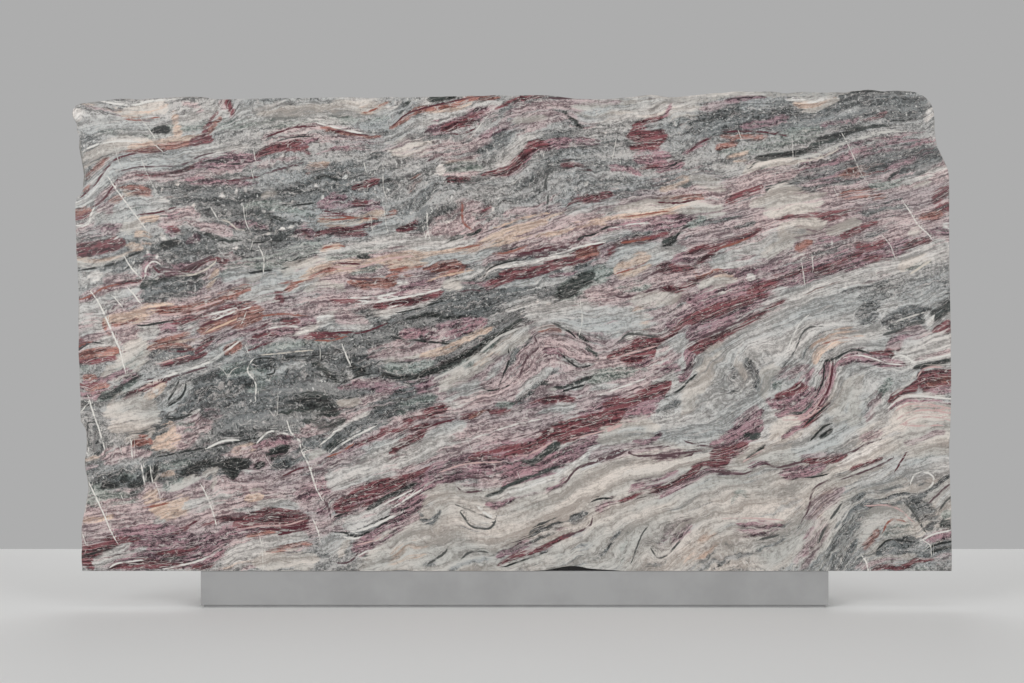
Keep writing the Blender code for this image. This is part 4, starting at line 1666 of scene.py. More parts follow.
@dataclass
class Figure:
    """The slab's figure: which stone lies where, and how its laminae flow. Lengths are in pixels.

    Attributes:
        laid: The beds, in the order in which they are laid.
        veins: The pale veins that cross the beds.
        ragged: How unevenly a bed's edges run.
        ragged_most: The half width beyond which edges get no more uneven.
        soft_edge: How softly a bed ends, at the least.
        soft_share: How much softer it ends for its half width.
        line_half_width: The half width up to which a bed is a thin line.
        line_reach: How far from a thin line its offset is known.
        thinnest: The least half width of a line.
    """

    laid: tuple[Bed, ...]
    veins: tuple[Bed, ...]
    ragged: tuple[Raggedness, ...] = (Raggedness(34, 7, 11, 0.4), Raggedness(12, 3, 23, 0.2))
    ragged_most: float = 14.0
    soft_edge: float = 1.6
    soft_share: float = 0.6
    line_half_width: float = 1.75
    line_reach: float = 3.6
    thinnest: float = 0.6

    def __post_init__(self) -> None:
        """Draws the beds' curves and solves the flow from them. Narrow beds pull it harder."""
        self.curves = [drawn(bed.path) for bed in self.laid]
        weights = [bed.share * 30 / (bed.half_width + 8) for bed in self.laid]
        self.flow = Flow([(rightward(curve), weight) for curve, weight in zip(self.curves, weights)])

    def shares(self, x: Array, y: Array, along: Array, across: Array) -> Array:
        """How much of each stone lies at each place.

        Args:
            x: Places across, in pixels.
            y: Places down, in pixels.
            along: The places' coordinate along the laminae.
            across: The places' coordinate across the laminae.

        Returns:
            One column a stone. Each row adds up to 1.
        """
        held = np.zeros((len(x), len(Stone)), np.float32)
        held[:, Stone.ASH.value] = 1.0
        uneven = sum(size.at(along, across) for size in self.ragged)
        for bed, curve in zip(self.laid, self.curves):
            if bed.half_width <= self.line_half_width:
                continue
            near = near_curve(x, y, curve, bed.half_width * 1.6 + 6)
            gap, share, _ = path_distance(x[near], y[near], curve)
            half = np.maximum(bed.half_width * tapered(share, 6, 0.35), 1.0)
            gap = gap + uneven[near] * np.minimum(half, self.ragged_most)
            soft = self.soft_edge + half * self.soft_share
            cover = np.clip((half - gap) / soft + 0.5, 0, 1) * bed.share * TINTS[bed.stone].hold
            held[near] *= (1 - cover)[:, None]
            held[near, bed.stone.value] += cover
        return held

    def thin(self, family: Family) -> list[tuple[Bed, float]]:
        """Picks one family's lines.

        Args:
            family: Which lines.

        Returns:
            The lines, each with its place along the family's palette.
        """
        if family is Family.VEIN:
            return [(vein, vein.share) for vein in self.veins]
        narrow = [bed for bed in self.laid if bed.half_width <= self.line_half_width]
        return [(bed, LINE_LOOKS[bed.stone][1]) for bed in narrow if LINE_LOOKS[bed.stone][0] is family]

    def lines(self, x: Array, y: Array, family: Family) -> Array:
        """Where each place lies against the nearest thin line of one family.

        Args:
            x: Places across, in pixels.
            y: Places down, in pixels.
            family: Which lines.

        Returns:
            Three columns: the offset from the line in its half widths, its strength there, and its
            place along the family's palette.
        """
        found = np.zeros((len(x), 3))
        found[:, 0] = self.line_reach
        nearest = np.full(len(x), self.line_reach)
        for bed, tint in self.thin(family):
            curve = drawn(bed.path, 4.0)
            near = near_curve(x, y, curve, self.line_reach)
            gap, share, side = path_distance(x[near], y[near], curve)
            closer = gap < nearest[near]
            near, gap, share, side = near[closer], gap[closer], share[closer], side[closer]
            half = max(bed.half_width, self.thinnest) * tapered(share, 5, 0.55)
            fade = np.clip((self.line_reach - 0.2 - gap) / 2.0, 0, 1)
            found[near] = np.stack([side * gap / half, fade * bed.share, np.full(len(near), tint)], 1)
            nearest[near] = gap
        return found


@dataclass(frozen=True)
class Pattern:
    """A noise: its bumps to a metre each way, how many finer layers it has, their strength, its warp."""

    scale: Triple
    detail: float
    rough: float
    warp: float = 0.0


@dataclass(frozen=True)
class Ramp:
    """A smooth change from start to end as a value passes from low to high."""

    low: float
    high: float
    start: float = 0.0
    end: float = 1.0


class Graph:
    """A material's nodes, added and linked in short calls."""

    def __init__(self, name: str) -> None:
        """Starts a material with only its surface shader and output.

        Args:
            name: The material's name.
        """
        self.material = bpy.data.materials.new(name)
        self.material.use_nodes = True
        self.tree = self.material.node_tree
        self.surface = self.tree.nodes["Principled BSDF"]

    def node(self, kind: str, **settings: object) -> bpy.types.Node:
        """Adds a node and sets its properties.

        Args:
            kind: Its type.
            settings: Its properties.

        Returns:
            The node.
        """
        made = self.tree.nodes.new(kind)
        for name, value in settings.items():
            setattr(made, name, value)
        return made

    def feed(self, socket: Socket, value: object) -> None:
        """Links a value's socket to an input, or sets the input to a plain value.

        Args:
            socket: The input.
            value: A socket, a number, or a colour or vector.
        """
        if isinstance(value, bpy.types.NodeSocket):
            self.tree.links.new(value, socket)
        elif socket.type == "RGBA":
            socket.default_value = (*value, 1.0)
        else:
            socket.default_value = value

    def math(self, operation: str, *values: object, clamp: bool = False) -> Socket:
        """Adds a Math node.

        Args:
            operation: What it works out.
            values: Up to three sockets or numbers.
            clamp: Whether the result is kept from 0 to 1.

        Returns:
            The result.
        """
        made = self.node("ShaderNodeMath", operation=operation, use_clamp=clamp)
        for socket, value in zip(made.inputs, values):
            self.feed(socket, value)
        return made.outputs[0]

    def vector(self, operation: str, *values: object, scale: object = None) -> Socket:
        """Adds a Vector Math node.

        Args:
            operation: What it works out.
            values: Up to three sockets or vectors.
            scale: The factor, for the operation SCALE.

        Returns:
            The result, which is a number for a dot product.
        """
        made = self.node("ShaderNodeVectorMath", operation=operation)
        for socket, value in zip(made.inputs, values):
            self.feed(socket, value)
        if scale is not None:
            self.feed(made.inputs["Scale"], scale)
        return made.outputs["Value" if operation == "DOT_PRODUCT" else "Vector"]

    def attribute(self, name: str, output: str = "Vector") -> Socket:
        """Reads one of the mesh's attributes."""
        return self.node("ShaderNodeAttribute", attribute_name=name).outputs[output]

    def parts(self, value: Socket) -> Sequence[Socket]:
        """Takes a vector apart.

        Args:
            value: The vector.

        Returns:
            Its three numbers.
        """
        made = self.node("ShaderNodeSeparateXYZ")
        self.feed(made.inputs[0], value)
        return made.outputs

    def noise(self, place: Socket, pattern: Pattern, output: str = "Fac") -> Socket:
        """Adds a Noise Texture node.

        Args:
            place: The coordinates that it reads, in metres.
            pattern: Its scale and fineness.
            output: Fac for one number, or Color for three.

        Returns:
            The noise.
        """
        made = self.node("ShaderNodeTexNoise", noise_dimensions="3D", normalize=True)
        self.feed(made.inputs["Vector"], self.vector("MULTIPLY", place, pattern.scale))
        made.inputs["Scale"].default_value = 1.0
        made.inputs["Detail"].default_value = pattern.detail
        made.inputs["Roughness"].default_value = pattern.rough
        made.inputs["Distortion"].default_value = pattern.warp
        return made.outputs[output]

    def mix(self, share: object, first: object, second: object, blend: str = "MIX") -> Socket:
        """Adds a Mix node for colours.

        Args:
            share: How much of the second colour shows.
            first: The colour below.
            second: The colour above.
            blend: How the two are blended.

        Returns:
            The mixed colour.
        """
        made = self.node("ShaderNodeMix", data_type="RGBA", blend_type=blend, clamp_factor=True)
        self.feed(made.inputs[0], share)
        self.feed(made.inputs[6], first)
        self.feed(made.inputs[7], second)
        return made.outputs[2]

    def ramp(self, value: Socket, ramp: Ramp) -> Socket:
        """Adds a Map Range node that changes a value smoothly.

        Args:
            value: The value.
            ramp: How it changes.

        Returns:
            The changed value.
        """
        made = self.node("ShaderNodeMapRange", interpolation_type="SMOOTHSTEP")
        for socket, number in zip(made.inputs, (value, ramp.low, ramp.high, ramp.start, ramp.end)):
            self.feed(socket, number)
        return made.outputs[0]

    def palette(self, value: Socket, colours: Sequence[Colour]) -> Socket:
        """Picks a colour from evenly spaced ones.

        Args:
            value: The place along them, from 0 to 1.
            colours: Two or more colours.

        Returns:
            The colour.
        """
        made = self.node("ShaderNodeValToRGB")
        stops = made.color_ramp.elements
        last = len(colours) - 1
        for k in range(1, last):
            stops.new(k / last)
        for stop, colour in zip(stops, colours):
            stop.color = (*colour, 1.0)
        self.feed(made.inputs[0], value)
        return made.outputs[0]

    def roughen(self, height: Socket, strength: object, distance: float) -> None:
        """Bumps the surface.

        Args:
            height: How high each place is, from 0 to 1.
            strength: How strongly it is bumped.
            distance: The bumps' height in metres.
        """
        bump = self.node("ShaderNodeBump")
        bump.inputs["Distance"].default_value = distance
        self.feed(bump.inputs["Strength"], strength)
        self.feed(bump.inputs["Height"], height)
        self.feed(self.surface.inputs["Normal"], bump.outputs[0])


STONE_LAYERS = ("stone_1", "stone_2", "stone_3", "stone_4")
FLOW_LAYER = "flow"
# The traits layer holds each place's fleck and line strengths, and marks the chip's recessed stone for
# painted near-black shade
TRAIT_AND_SHADE_LAYER = "traits"
EDGE_LAYER = "broken"


@dataclass(frozen=True)
class Seam:
    """Thin seams between the laminae: where they run, how wide they are and their colour."""

    pattern: Pattern
    width: float
    colour: Colour


@dataclass(frozen=True)
class Fleck:
    """Small fragments of one colour: their shape, and how rare they are from 0 to 1."""

    pattern: Pattern
    rarity: float
    colour: Colour


@dataclass(frozen=True)
class Reading:
    """What the marble's nodes read at each place: the place itself, its laminae and its traits."""

    g: Graph
    place: Socket
    flow: Socket
    fleck: Socket
    line: Socket
    mottle: Socket


SEAM_COLOUR, FILM_COLOUR = srgb("34292b"), srgb("cfc8c3")


@dataclass(frozen=True)
class PolishedMarble:
    """The slab's polished face, sawn back and rough broken edges.

    A ramp that is named by a trait, such as lamina_by_fleck, says how much of a texture shows as that
    trait grows. Streaks draw neighbouring stones out into each other: each stone's share is lifted by
    a noise of its own, times streak_gain, plus streak_base, and by streak_least at the least.
    """

    polished: Ramp = Ramp(0.3, 0.7, 0.25, 0.35)
    broken: float = 0.85
    specular: float = 0.3
    contortion: Pattern = Pattern((34.0, 34.0, 34.0), 4, 0.6)
    contortion_size: float = 0.012
    contorted_by_fleck: Ramp = Ramp(0.1, 0.75, 0.5, 2.8)
    streak: Pattern = Pattern((7.0, 75.0, 1.0), 3, 0.6)
    streak_drift: Triple = (13.7, 5.1, 3.3)
    streak_gain: float = 3.8
    streak_base: float = -1.3
    streak_least: float = 0.05
    lamina: Pattern = Pattern((9.0, 120.0, 1.0), 4, 0.75)
    lamina_by_line: Ramp = Ramp(0.38, 0.62, 0.24, 0.5)
    lamina_by_fleck: Ramp = Ramp(0.45, 0.75, 1.0, 0.5)
    layer: Pattern = Pattern((2.4, 30.0, 1.0), 2, 0.5)
    mottle: Pattern = Pattern((60.0, 60.0, 60.0), 6, 0.75)
    mottle_share: float = 0.28
    grit: Pattern = Pattern((190.0, 190.0, 190.0), 3, 0.7)
    grit_by_fleck: Ramp = Ramp(0.2, 0.6, 0.07, 0.22)
    contrast: Ramp = Ramp(0.44, 0.565)
    cloud: Pattern = Pattern((2.2, 9.0, 1.0), 3, 0.6)
    cool_cloud: Colour = (0.82, 0.86, 0.87)
    warm_cloud: Colour = (1.12, 1.07, 1.04)
    grain: Pattern = Pattern((420.0, 420.0, 420.0), 2, 0.5)
    crumb: Pattern = Pattern((70.0, 70.0, 70.0), 5, 0.7)
    crumb_height: float = 0.004
    crumb_strength: float = 0.8
    wander: Pattern = Pattern((60.0, 60.0, 1.0), 2, 0.5)
    wander_size: float = 1.2
    line_edge: Ramp = Ramp(0.35, 1.1, 1.0, 0.0)
    uneven: Pattern = Pattern((22.0, 90.0, 1.0), 2, 0.5)
    line_breaks: Ramp = Ramp(0.32, 0.6, 0.25, 1.6)
    fresh_break: Colour = srgb("bdb9b3")
    # Painted shade: the near-black colour laid on the stone recessed behind the chip
    chip_shadow: Colour = srgb("191818")
    flecks: tuple[Fleck, ...] = (
        Fleck(Pattern((95.0, 130.0, 1.0), 3, 0.6), 0.61, srgb("dad8d4")),
        Fleck(Pattern((80.0, 120.0, 1.0), 3, 0.6), 0.62, srgb("282e2d")),
    )
    seams: tuple[Seam, ...] = (
        Seam(Pattern((4.5, 46.0, 1.0), 2, 0.5, 0.5), 0.016, SEAM_COLOUR),
        Seam(Pattern((6.0, 58.0, 2.0), 2, 0.5, 0.5), 0.016, FILM_COLOUR),
        Seam(Pattern((11.0, 80.0, 1.0), 2, 0.5, 0.5), 0.012, SEAM_COLOUR),
        Seam(Pattern((13.0, 95.0, 2.0), 2, 0.5, 0.5), 0.014, FILM_COLOUR),
    )

    def make(self) -> bpy.types.Material:
        """Builds the marble from the slab's own stone shares, flow and lines.

        Returns:
            The material.
        """
        g = Graph("polished_marble")
        place = g.node("ShaderNodeTexCoord").outputs["Object"]
        fleck, line, shadow = g.parts(g.attribute(TRAIT_AND_SHADE_LAYER))
        jitter = g.vector("SUBTRACT", g.noise(place, self.contortion, "Color"), (0.5, 0.5, 0.5))
        jitter = g.vector("MULTIPLY", jitter, (self.contortion_size, self.contortion_size, 0.0))
        jitter = g.vector("SCALE", jitter, scale=g.ramp(fleck, self.contorted_by_fleck))
        flow = g.vector("ADD", g.attribute(FLOW_LAYER), jitter)
        mottle = g.noise(place, self.mottle)
        at = Reading(g, place, flow, fleck, line, mottle)

        colour = self.laminated(at)
        cloud = g.ramp(g.noise(g.attribute(FLOW_LAYER), self.cloud), Ramp(0.35, 0.65))
        colour = g.mix(1.0, colour, g.mix(cloud, self.cool_cloud, self.warm_cloud), "MULTIPLY")
        colour = self.seamed(at, self.flecked(at, colour))
        for family in Family:
            colour = self.lined(at, colour, family)
        grain = g.ramp(g.noise(place, self.grain), Ramp(0.2, 0.8, 0.88, 1.1))
        colour = g.mix(1.0, colour, grain, "MULTIPLY")

        broken = g.attribute(EDGE_LAYER, "Fac")
        crumb = g.noise(place, self.crumb)
        pale = g.math("MULTIPLY", broken, g.ramp(crumb, Ramp(0.35, 0.62, 0.1, 0.7)))
        # Pale crumb on broken faces, then the chip's recessed stone painted near-black as shade
        colour = g.mix(shadow, g.mix(pale, colour, self.fresh_break), self.chip_shadow)
        g.feed(g.surface.inputs["Base Color"], colour)
        rough = g.math("MULTIPLY", broken, self.broken)
        rough = g.math("MAXIMUM", g.ramp(mottle, self.polished), rough)
        g.feed(g.surface.inputs["Roughness"], rough)
        g.surface.inputs["Specular IOR Level"].default_value = self.specular
        g.roughen(crumb, g.math("MULTIPLY", broken, self.crumb_strength), self.crumb_height)
        return g.material

    def laminated(self, at: Reading) -> Socket:
        """Lays dark and light laminae through the stones.

        Args:
            at: What the nodes read at each place.

        Returns:
            The laminae's colour.
        """
        g = at.g
        dark, light = self.stones(at)
        lamina = g.ramp(at.line, self.lamina_by_line)
        lamina = g.math("MULTIPLY", lamina, g.ramp(at.fleck, self.lamina_by_fleck))
        grit = g.ramp(at.fleck, self.grit_by_fleck)
        layer = g.math("SUBTRACT", g.math("SUBTRACT", 1 - self.mottle_share, lamina), grit)
        tone = g.math("MULTIPLY", at.mottle, self.mottle_share)
        tone = g.math("MULTIPLY_ADD", g.noise(at.flow, self.lamina), lamina, tone)
        tone = g.math("MULTIPLY_ADD", g.noise(at.place, self.grit), grit, tone)
        tone = g.math("MULTIPLY_ADD", g.noise(at.flow, self.layer), layer, tone)
        return g.mix(g.ramp(tone, self.contrast), dark, light)

    def stones(self, at: Reading) -> tuple[Socket, Socket]:
        """Breaks the stones' shares into interlocking streaks.

        Args:
            at: What the nodes read at each place.

        Returns:
            The colours of the dark and of the light laminae at each place.
        """
        g = at.g
        pattern = Pattern((1.0, 1.0, 1.0), self.streak.detail, self.streak.rough)
        streak = g.vector("MULTIPLY", at.flow, self.streak.scale)
        powers, total = [], None
        for k, layer in enumerate(STONE_LAYERS):
            drift = g.vector("ADD", streak, tuple(part * k for part in self.streak_drift))
            noise = g.noise(drift, pattern, "Color")
            lift = g.vector("MULTIPLY_ADD", noise, (self.streak_gain,) * 3, (self.streak_base,) * 3)
            lift = g.vector("MAXIMUM", lift, (self.streak_least,) * 3)
            held = g.vector("MULTIPLY", g.attribute(layer), lift)
            powers.append(g.vector("MULTIPLY", g.vector("MULTIPLY", held, held), held))
            part = g.vector("DOT_PRODUCT", powers[-1], (1.0, 1.0, 1.0))
            total = part if total is None else g.math("ADD", total, part)
        total = g.math("MAXIMUM", total, 1e-9)
        tints = [TINTS[stone] for stone in Stone]
        dark = self.blend(g, powers, total, [tint.dark for tint in tints])
        return dark, self.blend(g, powers, total, [tint.light for tint in tints])

    @staticmethod
    def blend(g: Graph, powers: list[Socket], total: Socket, colours: Sequence[Colour]) -> Socket:
        """Averages the stones' colours by their powers.

        Args:
            g: The material's nodes.
            powers: The powers of three stones each.
            total: What all powers add up to.
            colours: One colour a stone.

        Returns:
            The average colour.
        """
        joined = g.node("ShaderNodeCombineXYZ")
        for channel, socket in enumerate(joined.inputs):
            value = None
            for k, power in enumerate(powers):
                triple = tuple(colour[channel] for colour in colours[3 * k:3 * k + 3])
                dot = g.vector("DOT_PRODUCT", power, triple)
                value = dot if value is None else g.math("ADD", value, dot)
            g.feed(socket, g.math("DIVIDE", value, total))
        return joined.outputs[0]

    def flecked(self, at: Reading, colour: Socket) -> Socket:
        """Scatters small pale and dark fragments where the stone is brecciated.

        Args:
            at: What the nodes read at each place.
            colour: The stone under them.

        Returns:
            The colour with its flecks.
        """
        for kind in self.flecks:
            spot = at.g.ramp(at.g.noise(at.flow, kind.pattern), Ramp(kind.rarity, kind.rarity + 0.07))
            colour = at.g.mix(at.g.math("MULTIPLY", spot, at.fleck, clamp=True), colour, kind.colour)
        return colour

    def seamed(self, at: Reading, colour: Socket) -> Socket:
        """Draws thin dark seams and thin pale films between the laminae.

        Args:
            at: What the nodes read at each place.
            colour: The stone under them.

        Returns:
            The colour with its seams.
        """
        for kind in self.seams:
            ridge = at.g.math("ABSOLUTE", at.g.math("SUBTRACT", at.g.noise(at.flow, kind.pattern), 0.5))
            seam = at.g.ramp(ridge, Ramp(0.0, kind.width, 0.85, 0.0))
            colour = at.g.mix(at.g.math("MULTIPLY", seam, at.line), colour, kind.colour)
        return colour

    def lined(self, at: Reading, colour: Socket, family: Family) -> Socket:
        """Draws one family of thin lines.

        Args:
            at: What the nodes read at each place.
            colour: The stone under them.
            family: Which lines.

        Returns:
            The colour with its lines.
        """
        g = at.g
        offset, strength, tint = g.parts(g.attribute(family.value))
        size = self.wander_size
        wander = g.math("MULTIPLY_ADD", g.noise(at.flow, self.wander), size, -size / 2)
        gap = g.math("ABSOLUTE", g.math("ADD", offset, wander))
        uneven = g.ramp(g.noise(at.flow, self.uneven), self.line_breaks)
        cover = g.math("MULTIPLY", g.ramp(gap, self.line_edge), uneven)
        cover = g.math("MULTIPLY", cover, strength, clamp=True)
        return g.mix(cover, colour, g.palette(tint, PALETTES[family]))


def only(*objects: bpy.types.Object) -> None:
    """Selects just these objects and makes the first one active."""
    bpy.ops.object.select_all(action="DESELECT")
    for thing in objects:
        thing.select_set(True)
    bpy.context.view_layer.objects.active = objects[0]


WELD_DISTANCE = 1e-6
FACING = 0.999
CHIP_TOLERANCE = 0.001


@dataclass
class MarbleSlab:
    """The stone itself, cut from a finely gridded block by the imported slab's own outline.

    Attributes:
        node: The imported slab's name.
        inset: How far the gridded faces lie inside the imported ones.
        margin: How far the block stands out around the slab.
        front_cells: The front grid's cells across and up.
        back_cells: The back grid's cells across and up.
        chip_depth: How deep the chip in the sawn edge is.
        chip_skin: How far the stone behind the chip stays inside the slab's back and sawn edge.
        swirl: The size of the contortions, in pixels across and down, and which noise they are.
        depth_share: How much the figure changes through the stone, next to along its face.
        back_wear: How broken the sawn back looks, where an edge is 1.
    """

    node: str = "slab"
    inset: float = 0.0001
    margin: float = 0.03
    front_cells: tuple[int, int] = (384, 212)
    back_cells: tuple[int, int] = (120, 66)
    chip_depth: float = 0.009
    chip_skin: float = 0.001
    swirl: tuple[float, float, int] = (17, 13, 41)
    depth_share: float = 0.6
    back_wear: float = 0.55

    def __post_init__(self) -> None:
        """Reads the slab's box from the imported slab."""
        self.low, self.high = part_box(self.node)
        pixel = (self.high.x - self.low.x) / OUTLINE_WIDTH_PX
        self.picture = Picture(pixel, self.low.z)

    def core(self) -> bpy.types.Object:
        """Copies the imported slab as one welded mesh.

        Returns:
            The copy.
        """
        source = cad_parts[self.node]
        copy = bpy.data.objects.new("slab_core", source.data.copy())
        bpy.context.scene.collection.objects.link(copy)
        only(copy)
        bpy.ops.object.mode_set(mode="EDIT")
        bpy.ops.mesh.select_all(action="SELECT")
        bpy.ops.mesh.remove_doubles(threshold=WELD_DISTANCE)
        bpy.ops.object.mode_set(mode="OBJECT")
        return copy

    def sheet(self, y: float, cells: tuple[int, int], turn: float) -> bpy.types.Object:
        """Makes one gridded face of the block.

        Args:
            y: Its place from front to back.
            cells: Its cells across and up.
            turn: How it is turned to face outwards.

        Returns:
            The face.
        """
        middle = ((self.low.x + self.high.x) / 2, y, (self.low.z + self.high.z) / 2)
        width = self.high.x - self.low.x + 2 * self.margin
        height = self.high.z - self.low.z + 2 * self.margin
        bpy.ops.object.select_all(action="DESELECT")
        bpy.ops.mesh.primitive_grid_add(
            x_subdivisions=cells[0], y_subdivisions=cells[1], size=1.0, location=middle,
            rotation=(turn, 0.0, 0.0),
        )
        made = bpy.context.object
        made.scale = (width, height, 1.0)
        bpy.ops.object.transform_apply(location=True, rotation=True, scale=True)
        return made

    def block(self) -> bpy.types.Object:
        """Makes a closed block with a fine grid on its front and a coarser one on its back.

        Returns:
            The block.
        """
        front = self.sheet(self.low.y + self.inset, self.front_cells, math.pi / 2)
        back = self.sheet(self.high.y - self.inset, self.back_cells, -math.pi / 2)
        only(front, back)
        bpy.ops.object.join()
        bpy.ops.object.mode_set(mode="EDIT")
        bpy.ops.mesh.select_mode(type="EDGE")
        bpy.ops.mesh.select_all(action="DESELECT")
        bpy.ops.mesh.select_non_manifold(extend=False)
        bpy.ops.mesh.bridge_edge_loops()
        bpy.ops.mesh.select_all(action="SELECT")
        bpy.ops.mesh.normals_make_consistent(inside=False)
        bpy.ops.object.mode_set(mode="OBJECT")
        return front

    def ledge(self) -> bpy.types.Object:
        """Makes the stone that is left behind the chip, as a block inside the slab.

        Returns:
            The block.
        """
        left, right = ((end - OUTLINE_MIDDLE_PX) * self.picture.pixel for end in CHIP_ENDS_PX)
        front, back = self.low.y + self.chip_depth, self.high.y - self.chip_skin
        height = CHIP_HEIGHT_PX * self.picture.pixel
        middle = ((left + right) / 2, (front + back) / 2, self.low.z + self.chip_skin / 2 + height / 2)
        bpy.ops.object.select_all(action="DESELECT")
        bpy.ops.mesh.primitive_cube_add(size=1.0, location=middle)
        made = bpy.context.object
        made.scale = (right - left, back - front, height)
        bpy.ops.object.transform_apply(location=True, rotation=True, scale=True)
        return made

    def build(self) -> bpy.types.Object:
        """Cuts the slab from the block, and names it.

        Returns:
            The slab.
        """
        core, stone, ledge = self.core(), self.block(), self.ledge()
        for name, operation, tool in (("outline", "INTERSECT", core), ("chip", "UNION", ledge)):
            cut = stone.modifiers.new(name, "BOOLEAN")
            cut.operation = operation
            cut.object = tool
            cut.solver = "MANIFOLD"
        only(stone)
        for modifier in list(stone.modifiers):
            bpy.ops.object.modifier_apply(modifier=modifier.name)
        for tool in (core, ledge):
            bpy.data.objects.remove(tool, do_unlink=True)
        stone.name = stone.data.name = "marble_slab"
        return stone

    def dress(self, stone: bpy.types.Object, figure: Figure, finish: PolishedMarble) -> None:
        """Writes the figure onto the slab's mesh and gives it its material.

        Args:
            stone: The slab.
            figure: Its figure.
            finish: Its finish.
        """
        mesh = stone.data
        place = np.zeros(len(mesh.vertices) * 3, np.float32)
        mesh.vertices.foreach_get("co", place)
        place = place.reshape(-1, 3).astype(float)
        x, y = self.picture.to_pixels(place[:, 0], place[:, 2])
        along, across = figure.flow.read(x, y)
        held = figure.shares(x, y, along, across)
        wide, high, seed = self.swirl
        swirled = held @ np.array([TINTS[kind].swirl for kind in Stone])
        across = across + swirled * layered_noise(x / wide, y / high, seed, 2)
        flow = np.stack([along, across], 1) * self.picture.pixel
        self.write(mesh, FLOW_LAYER, np.column_stack([flow, place[:, 1] * self.depth_share]))
        for k, layer in enumerate(STONE_LAYERS):
            self.write(mesh, layer, held[:, 3 * k:3 * k + 3])
        traits = held @ np.array([(TINTS[kind].fleck, TINTS[kind].line, 0.0) for kind in Stone])
        # The third trait marks the chip's recessed stone, which the marble paints near-black as shade
        traits[:, 2] = self.painted_chip_shade(x, y, place[:, 1])
        self.write(mesh, TRAIT_AND_SHADE_LAYER, traits)
        on_front = place[:, 1] < (self.low.y + self.high.y) / 2
        for family in Family:
            lines = figure.lines(x, y, family)
            lines[:, 1] *= on_front
            self.write(mesh, family.value, lines)
        self.mark_broken(mesh)
        mesh.materials.clear()
        mesh.materials.append(finish.make())

    def painted_chip_shade(self, x: Array, y: Array, depth: Array) -> Array:
        """Finds the places on the recessed stone that the chip lays bare, which are painted near-black as
        shade.

        Args:
            x: Places across, in pixels.
            y: Places down, in pixels.
            depth: Places from front to back.

        Returns:
            True for each such place.
        """
        left, right = CHIP_ENDS_PX
        recessed = np.abs(depth - self.low.y - self.chip_depth) < CHIP_TOLERANCE
        return (x > left) & (x < right) & (y > SAWN_EDGE_PX - CHIP_HEIGHT_PX - 0.5) & recessed

    def mark_broken(self, mesh: bpy.types.Mesh) -> None:
        """Marks each face by its direction: polished in front, worn behind, broken at the edges.

        Args:
            mesh: The slab's mesh.
        """
        normal = np.zeros(len(mesh.polygons) * 3, np.float32)
        mesh.polygons.foreach_get("normal", normal)
        facing = normal.reshape(-1, 3)[:, 1]
        wear = np.where(facing < -FACING, 0.0, np.where(facing > FACING, self.back_wear, 1.0))
        layer = mesh.attributes.new(EDGE_LAYER, "FLOAT", "FACE")
        layer.data.foreach_set("value", wear.astype(np.float32))

    @staticmethod
    def write(mesh: bpy.types.Mesh, name: str, values: Array) -> None:
        """Stores three numbers a vertex."""
        layer = mesh.attributes.new(name, "FLOAT_VECTOR", "POINT")
        layer.data.foreach_set("vector", np.ascontiguousarray(values, np.float32).ravel())


@dataclass(frozen=True)
class GreyPaint:
    """The plinth's even grey coat: its colour, where it is worn, and its roughness."""

    colour: Colour = srgb("9b9b9b")
    worn: Colour = srgb("929292")
    cloud: Pattern = Pattern((5.0, 5.0, 5.0), 4, 0.6)
    rough: Ramp = Ramp(0.3, 0.7, 0.51, 0.6)
    stipple: Pattern = Pattern((900.0, 900.0, 900.0), 2, 0.5)
    stipple_strength: float = 0.05
    stipple_height: float = 0.0005

    def make(self) -> bpy.types.Material:
        """Builds the paint.

        Returns:
            The material.
        """
        g = Graph("grey_paint")
        place = g.node("ShaderNodeTexCoord").outputs["Object"]
        cloud = g.noise(place, self.cloud)
        colour = g.mix(g.ramp(cloud, Ramp(0.35, 0.65)), self.worn, self.colour)
        g.feed(g.surface.inputs["Base Color"], colour)
        g.feed(g.surface.inputs["Roughness"], g.ramp(cloud, self.rough))
        g.roughen(g.noise(place, self.stipple), self.stipple_strength, self.stipple_height)
        return g.material


@dataclass
class Plinth:
    """The grey block under the slab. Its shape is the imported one."""

    node: str = "plinth"

    def dress(self, finish: GreyPaint) -> bpy.types.Object:
        """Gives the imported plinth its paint.

        Args:
            finish: Its finish.

        Returns:
            The plinth.
        """
        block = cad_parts[self.node]
        block.data.materials.clear()
        block.data.materials.append(finish.make())
        return block


@dataclass(frozen=True)
class Lamp:
    """A square soft light that faces the slab. Its power is in watts and its spread in degrees."""

    name: str
    place: Triple
    size: float
    power: float
    spread: float = 180.0


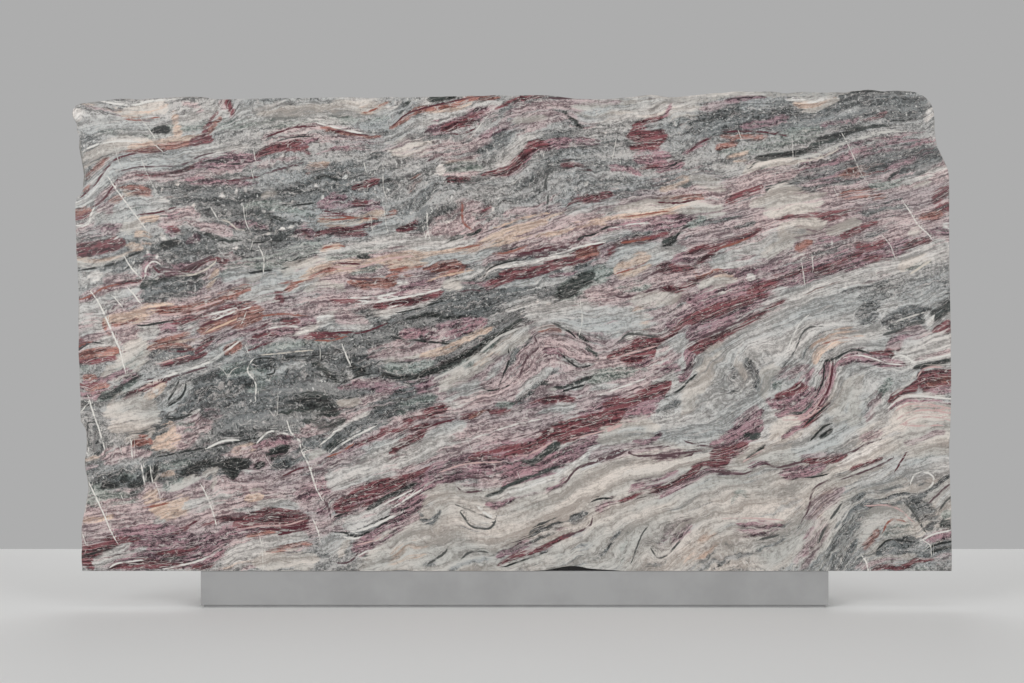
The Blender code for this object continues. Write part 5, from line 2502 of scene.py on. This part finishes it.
@dataclass
class Studio:
    """The pale floor, the soft lights and the camera.

    Attributes:
        picture: The picture's scale.
        front: The place of the slab's polished face.
        lens: The camera's focal length in millimetres.
        sensor: Its sensor's width in millimetres.
        floor_width: The floor's width.
        floor_behind: How far the floor goes on behind the camera.
        floor_rough: The floor's roughness.
        lamps: The lights.
    """

    picture: Picture
    front: float
    lens: float = 85.0
    sensor: float = 36.0
    floor_colour: Colour = srgb("ebebea")
    wall_colour: Colour = srgb("adadad")
    floor_width: float = 30.0
    floor_behind: float = 4.0
    floor_cloud: Pattern = Pattern((2.0, 2.0, 2.0), 3, 0.5)
    floor_rough: Ramp = Ramp(0.3, 0.7, 0.85, 0.95)
    floor_specular: float = 0.15
    lamps: tuple[Lamp, ...] = (
        Lamp("light_left", (-4.5, -8.5, 3.0), 4.0, 56.0, 70.0),
        Lamp("light_right", (4.5, -8.5, 3.0), 4.0, 40.0, 70.0),
        Lamp("light_top", (0.0, -2.5, 6.0), 6.0, 35.0),
        Lamp("light_behind", (0.0, 6.0, 3.4), 5.0, 150.0),
    )

    @property
    def distance(self) -> float:
        """How far the camera stands from the polished face."""
        return PICTURE_WIDTH_PX * self.picture.pixel * self.lens / self.sensor

    @property
    def eye(self) -> float:
        """The camera's height."""
        return self.picture.foot + (SAWN_EDGE_PX - EYE_LEVEL_PX) * self.picture.pixel

    def camera(self) -> None:
        """Sets the camera square to the slab, at the picture's eye level."""
        data = bpy.data.cameras.new("camera")
        data.lens, data.sensor_width = self.lens, self.sensor
        camera = bpy.data.objects.new("camera", data)
        bpy.context.scene.collection.objects.link(camera)
        camera.location = (0.0, self.front - self.distance, self.eye)
        camera.rotation_euler = (math.pi / 2, 0, 0)
        bpy.context.scene.camera = camera

    def floor(self) -> bpy.types.Object:
        """Lays the floor as far back as the picture shows it.

        Returns:
            The floor.
        """
        focal = PICTURE_WIDTH_PX * self.lens / self.sensor
        reach = focal * self.eye / (FLOOR_END_PX - EYE_LEVEL_PX)
        near, far = self.front - self.distance - self.floor_behind, self.front - self.distance + reach
        bpy.ops.object.select_all(action="DESELECT")
        bpy.ops.mesh.primitive_plane_add(size=1.0, location=(0.0, (near + far) / 2, 0.0))
        plane = bpy.context.object
        plane.name = "studio_floor"
        plane.scale = (self.floor_width, far - near, 1.0)
        bpy.ops.object.transform_apply(location=True, rotation=True, scale=True)
        g = Graph("pale_floor")
        place = g.node("ShaderNodeTexCoord").outputs["Object"]
        g.feed(g.surface.inputs["Base Color"], self.floor_colour)
        g.feed(g.surface.inputs["Roughness"], g.ramp(g.noise(place, self.floor_cloud), self.floor_rough))
        g.surface.inputs["Specular IOR Level"].default_value = self.floor_specular
        plane.data.materials.append(g.material)
        return plane

    def lights(self) -> None:
        """Sets the even grey surroundings and the wide soft lights."""
        world = bpy.data.worlds.new("studio")
        bpy.context.scene.world = world
        world.use_nodes = True
        backdrop = world.node_tree.nodes["Background"]
        backdrop.inputs[0].default_value = (*self.wall_colour, 1.0)
        for lamp in self.lamps:
            data = bpy.data.lights.new(lamp.name, "AREA")
            data.size, data.energy, data.spread = lamp.size, lamp.power, math.radians(lamp.spread)
            light = bpy.data.objects.new(lamp.name, data)
            bpy.context.scene.collection.objects.link(light)
            light.location = lamp.place
            aim = Vector((0.0, self.front, self.eye)) - light.location
            light.rotation_euler = aim.to_track_quat("-Z", "Y").to_euler()


def main() -> None:
    """Builds, dresses, lights and frames the slab on its plinth."""
    logging.basicConfig(level=logging.INFO, format="%(message)s")
    specks = tuple(Bed(Stone.CHALK, SPECK_HALF_WIDTH, 1.0, ((x - 1, y), (x + 1, y))) for x, y in WHITE_SPECKS)
    figure = Figure(ALL_BEDS + specks, WHITE_VEINS)
    LOG.info("figure: %d beds and lines, %d veins", len(figure.laid), len(figure.veins))
    slab = MarbleSlab()
    stone = slab.build()
    slab.dress(stone, figure, PolishedMarble())
    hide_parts("slab")
    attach(stone, "root")
    LOG.info("marble_slab: %d faces", len(stone.data.polygons))
    plinth = Plinth().dress(GreyPaint())
    LOG.info("plinth: %d faces", len(plinth.data.polygons))
    studio = Studio(slab.picture, slab.low.y)
    studio.camera()
    studio.lights()
    studio.floor()
    LOG.info("studio set")
    bpy.context.scene.view_settings.view_transform = "Standard"


if __name__ == "__main__":
    main()
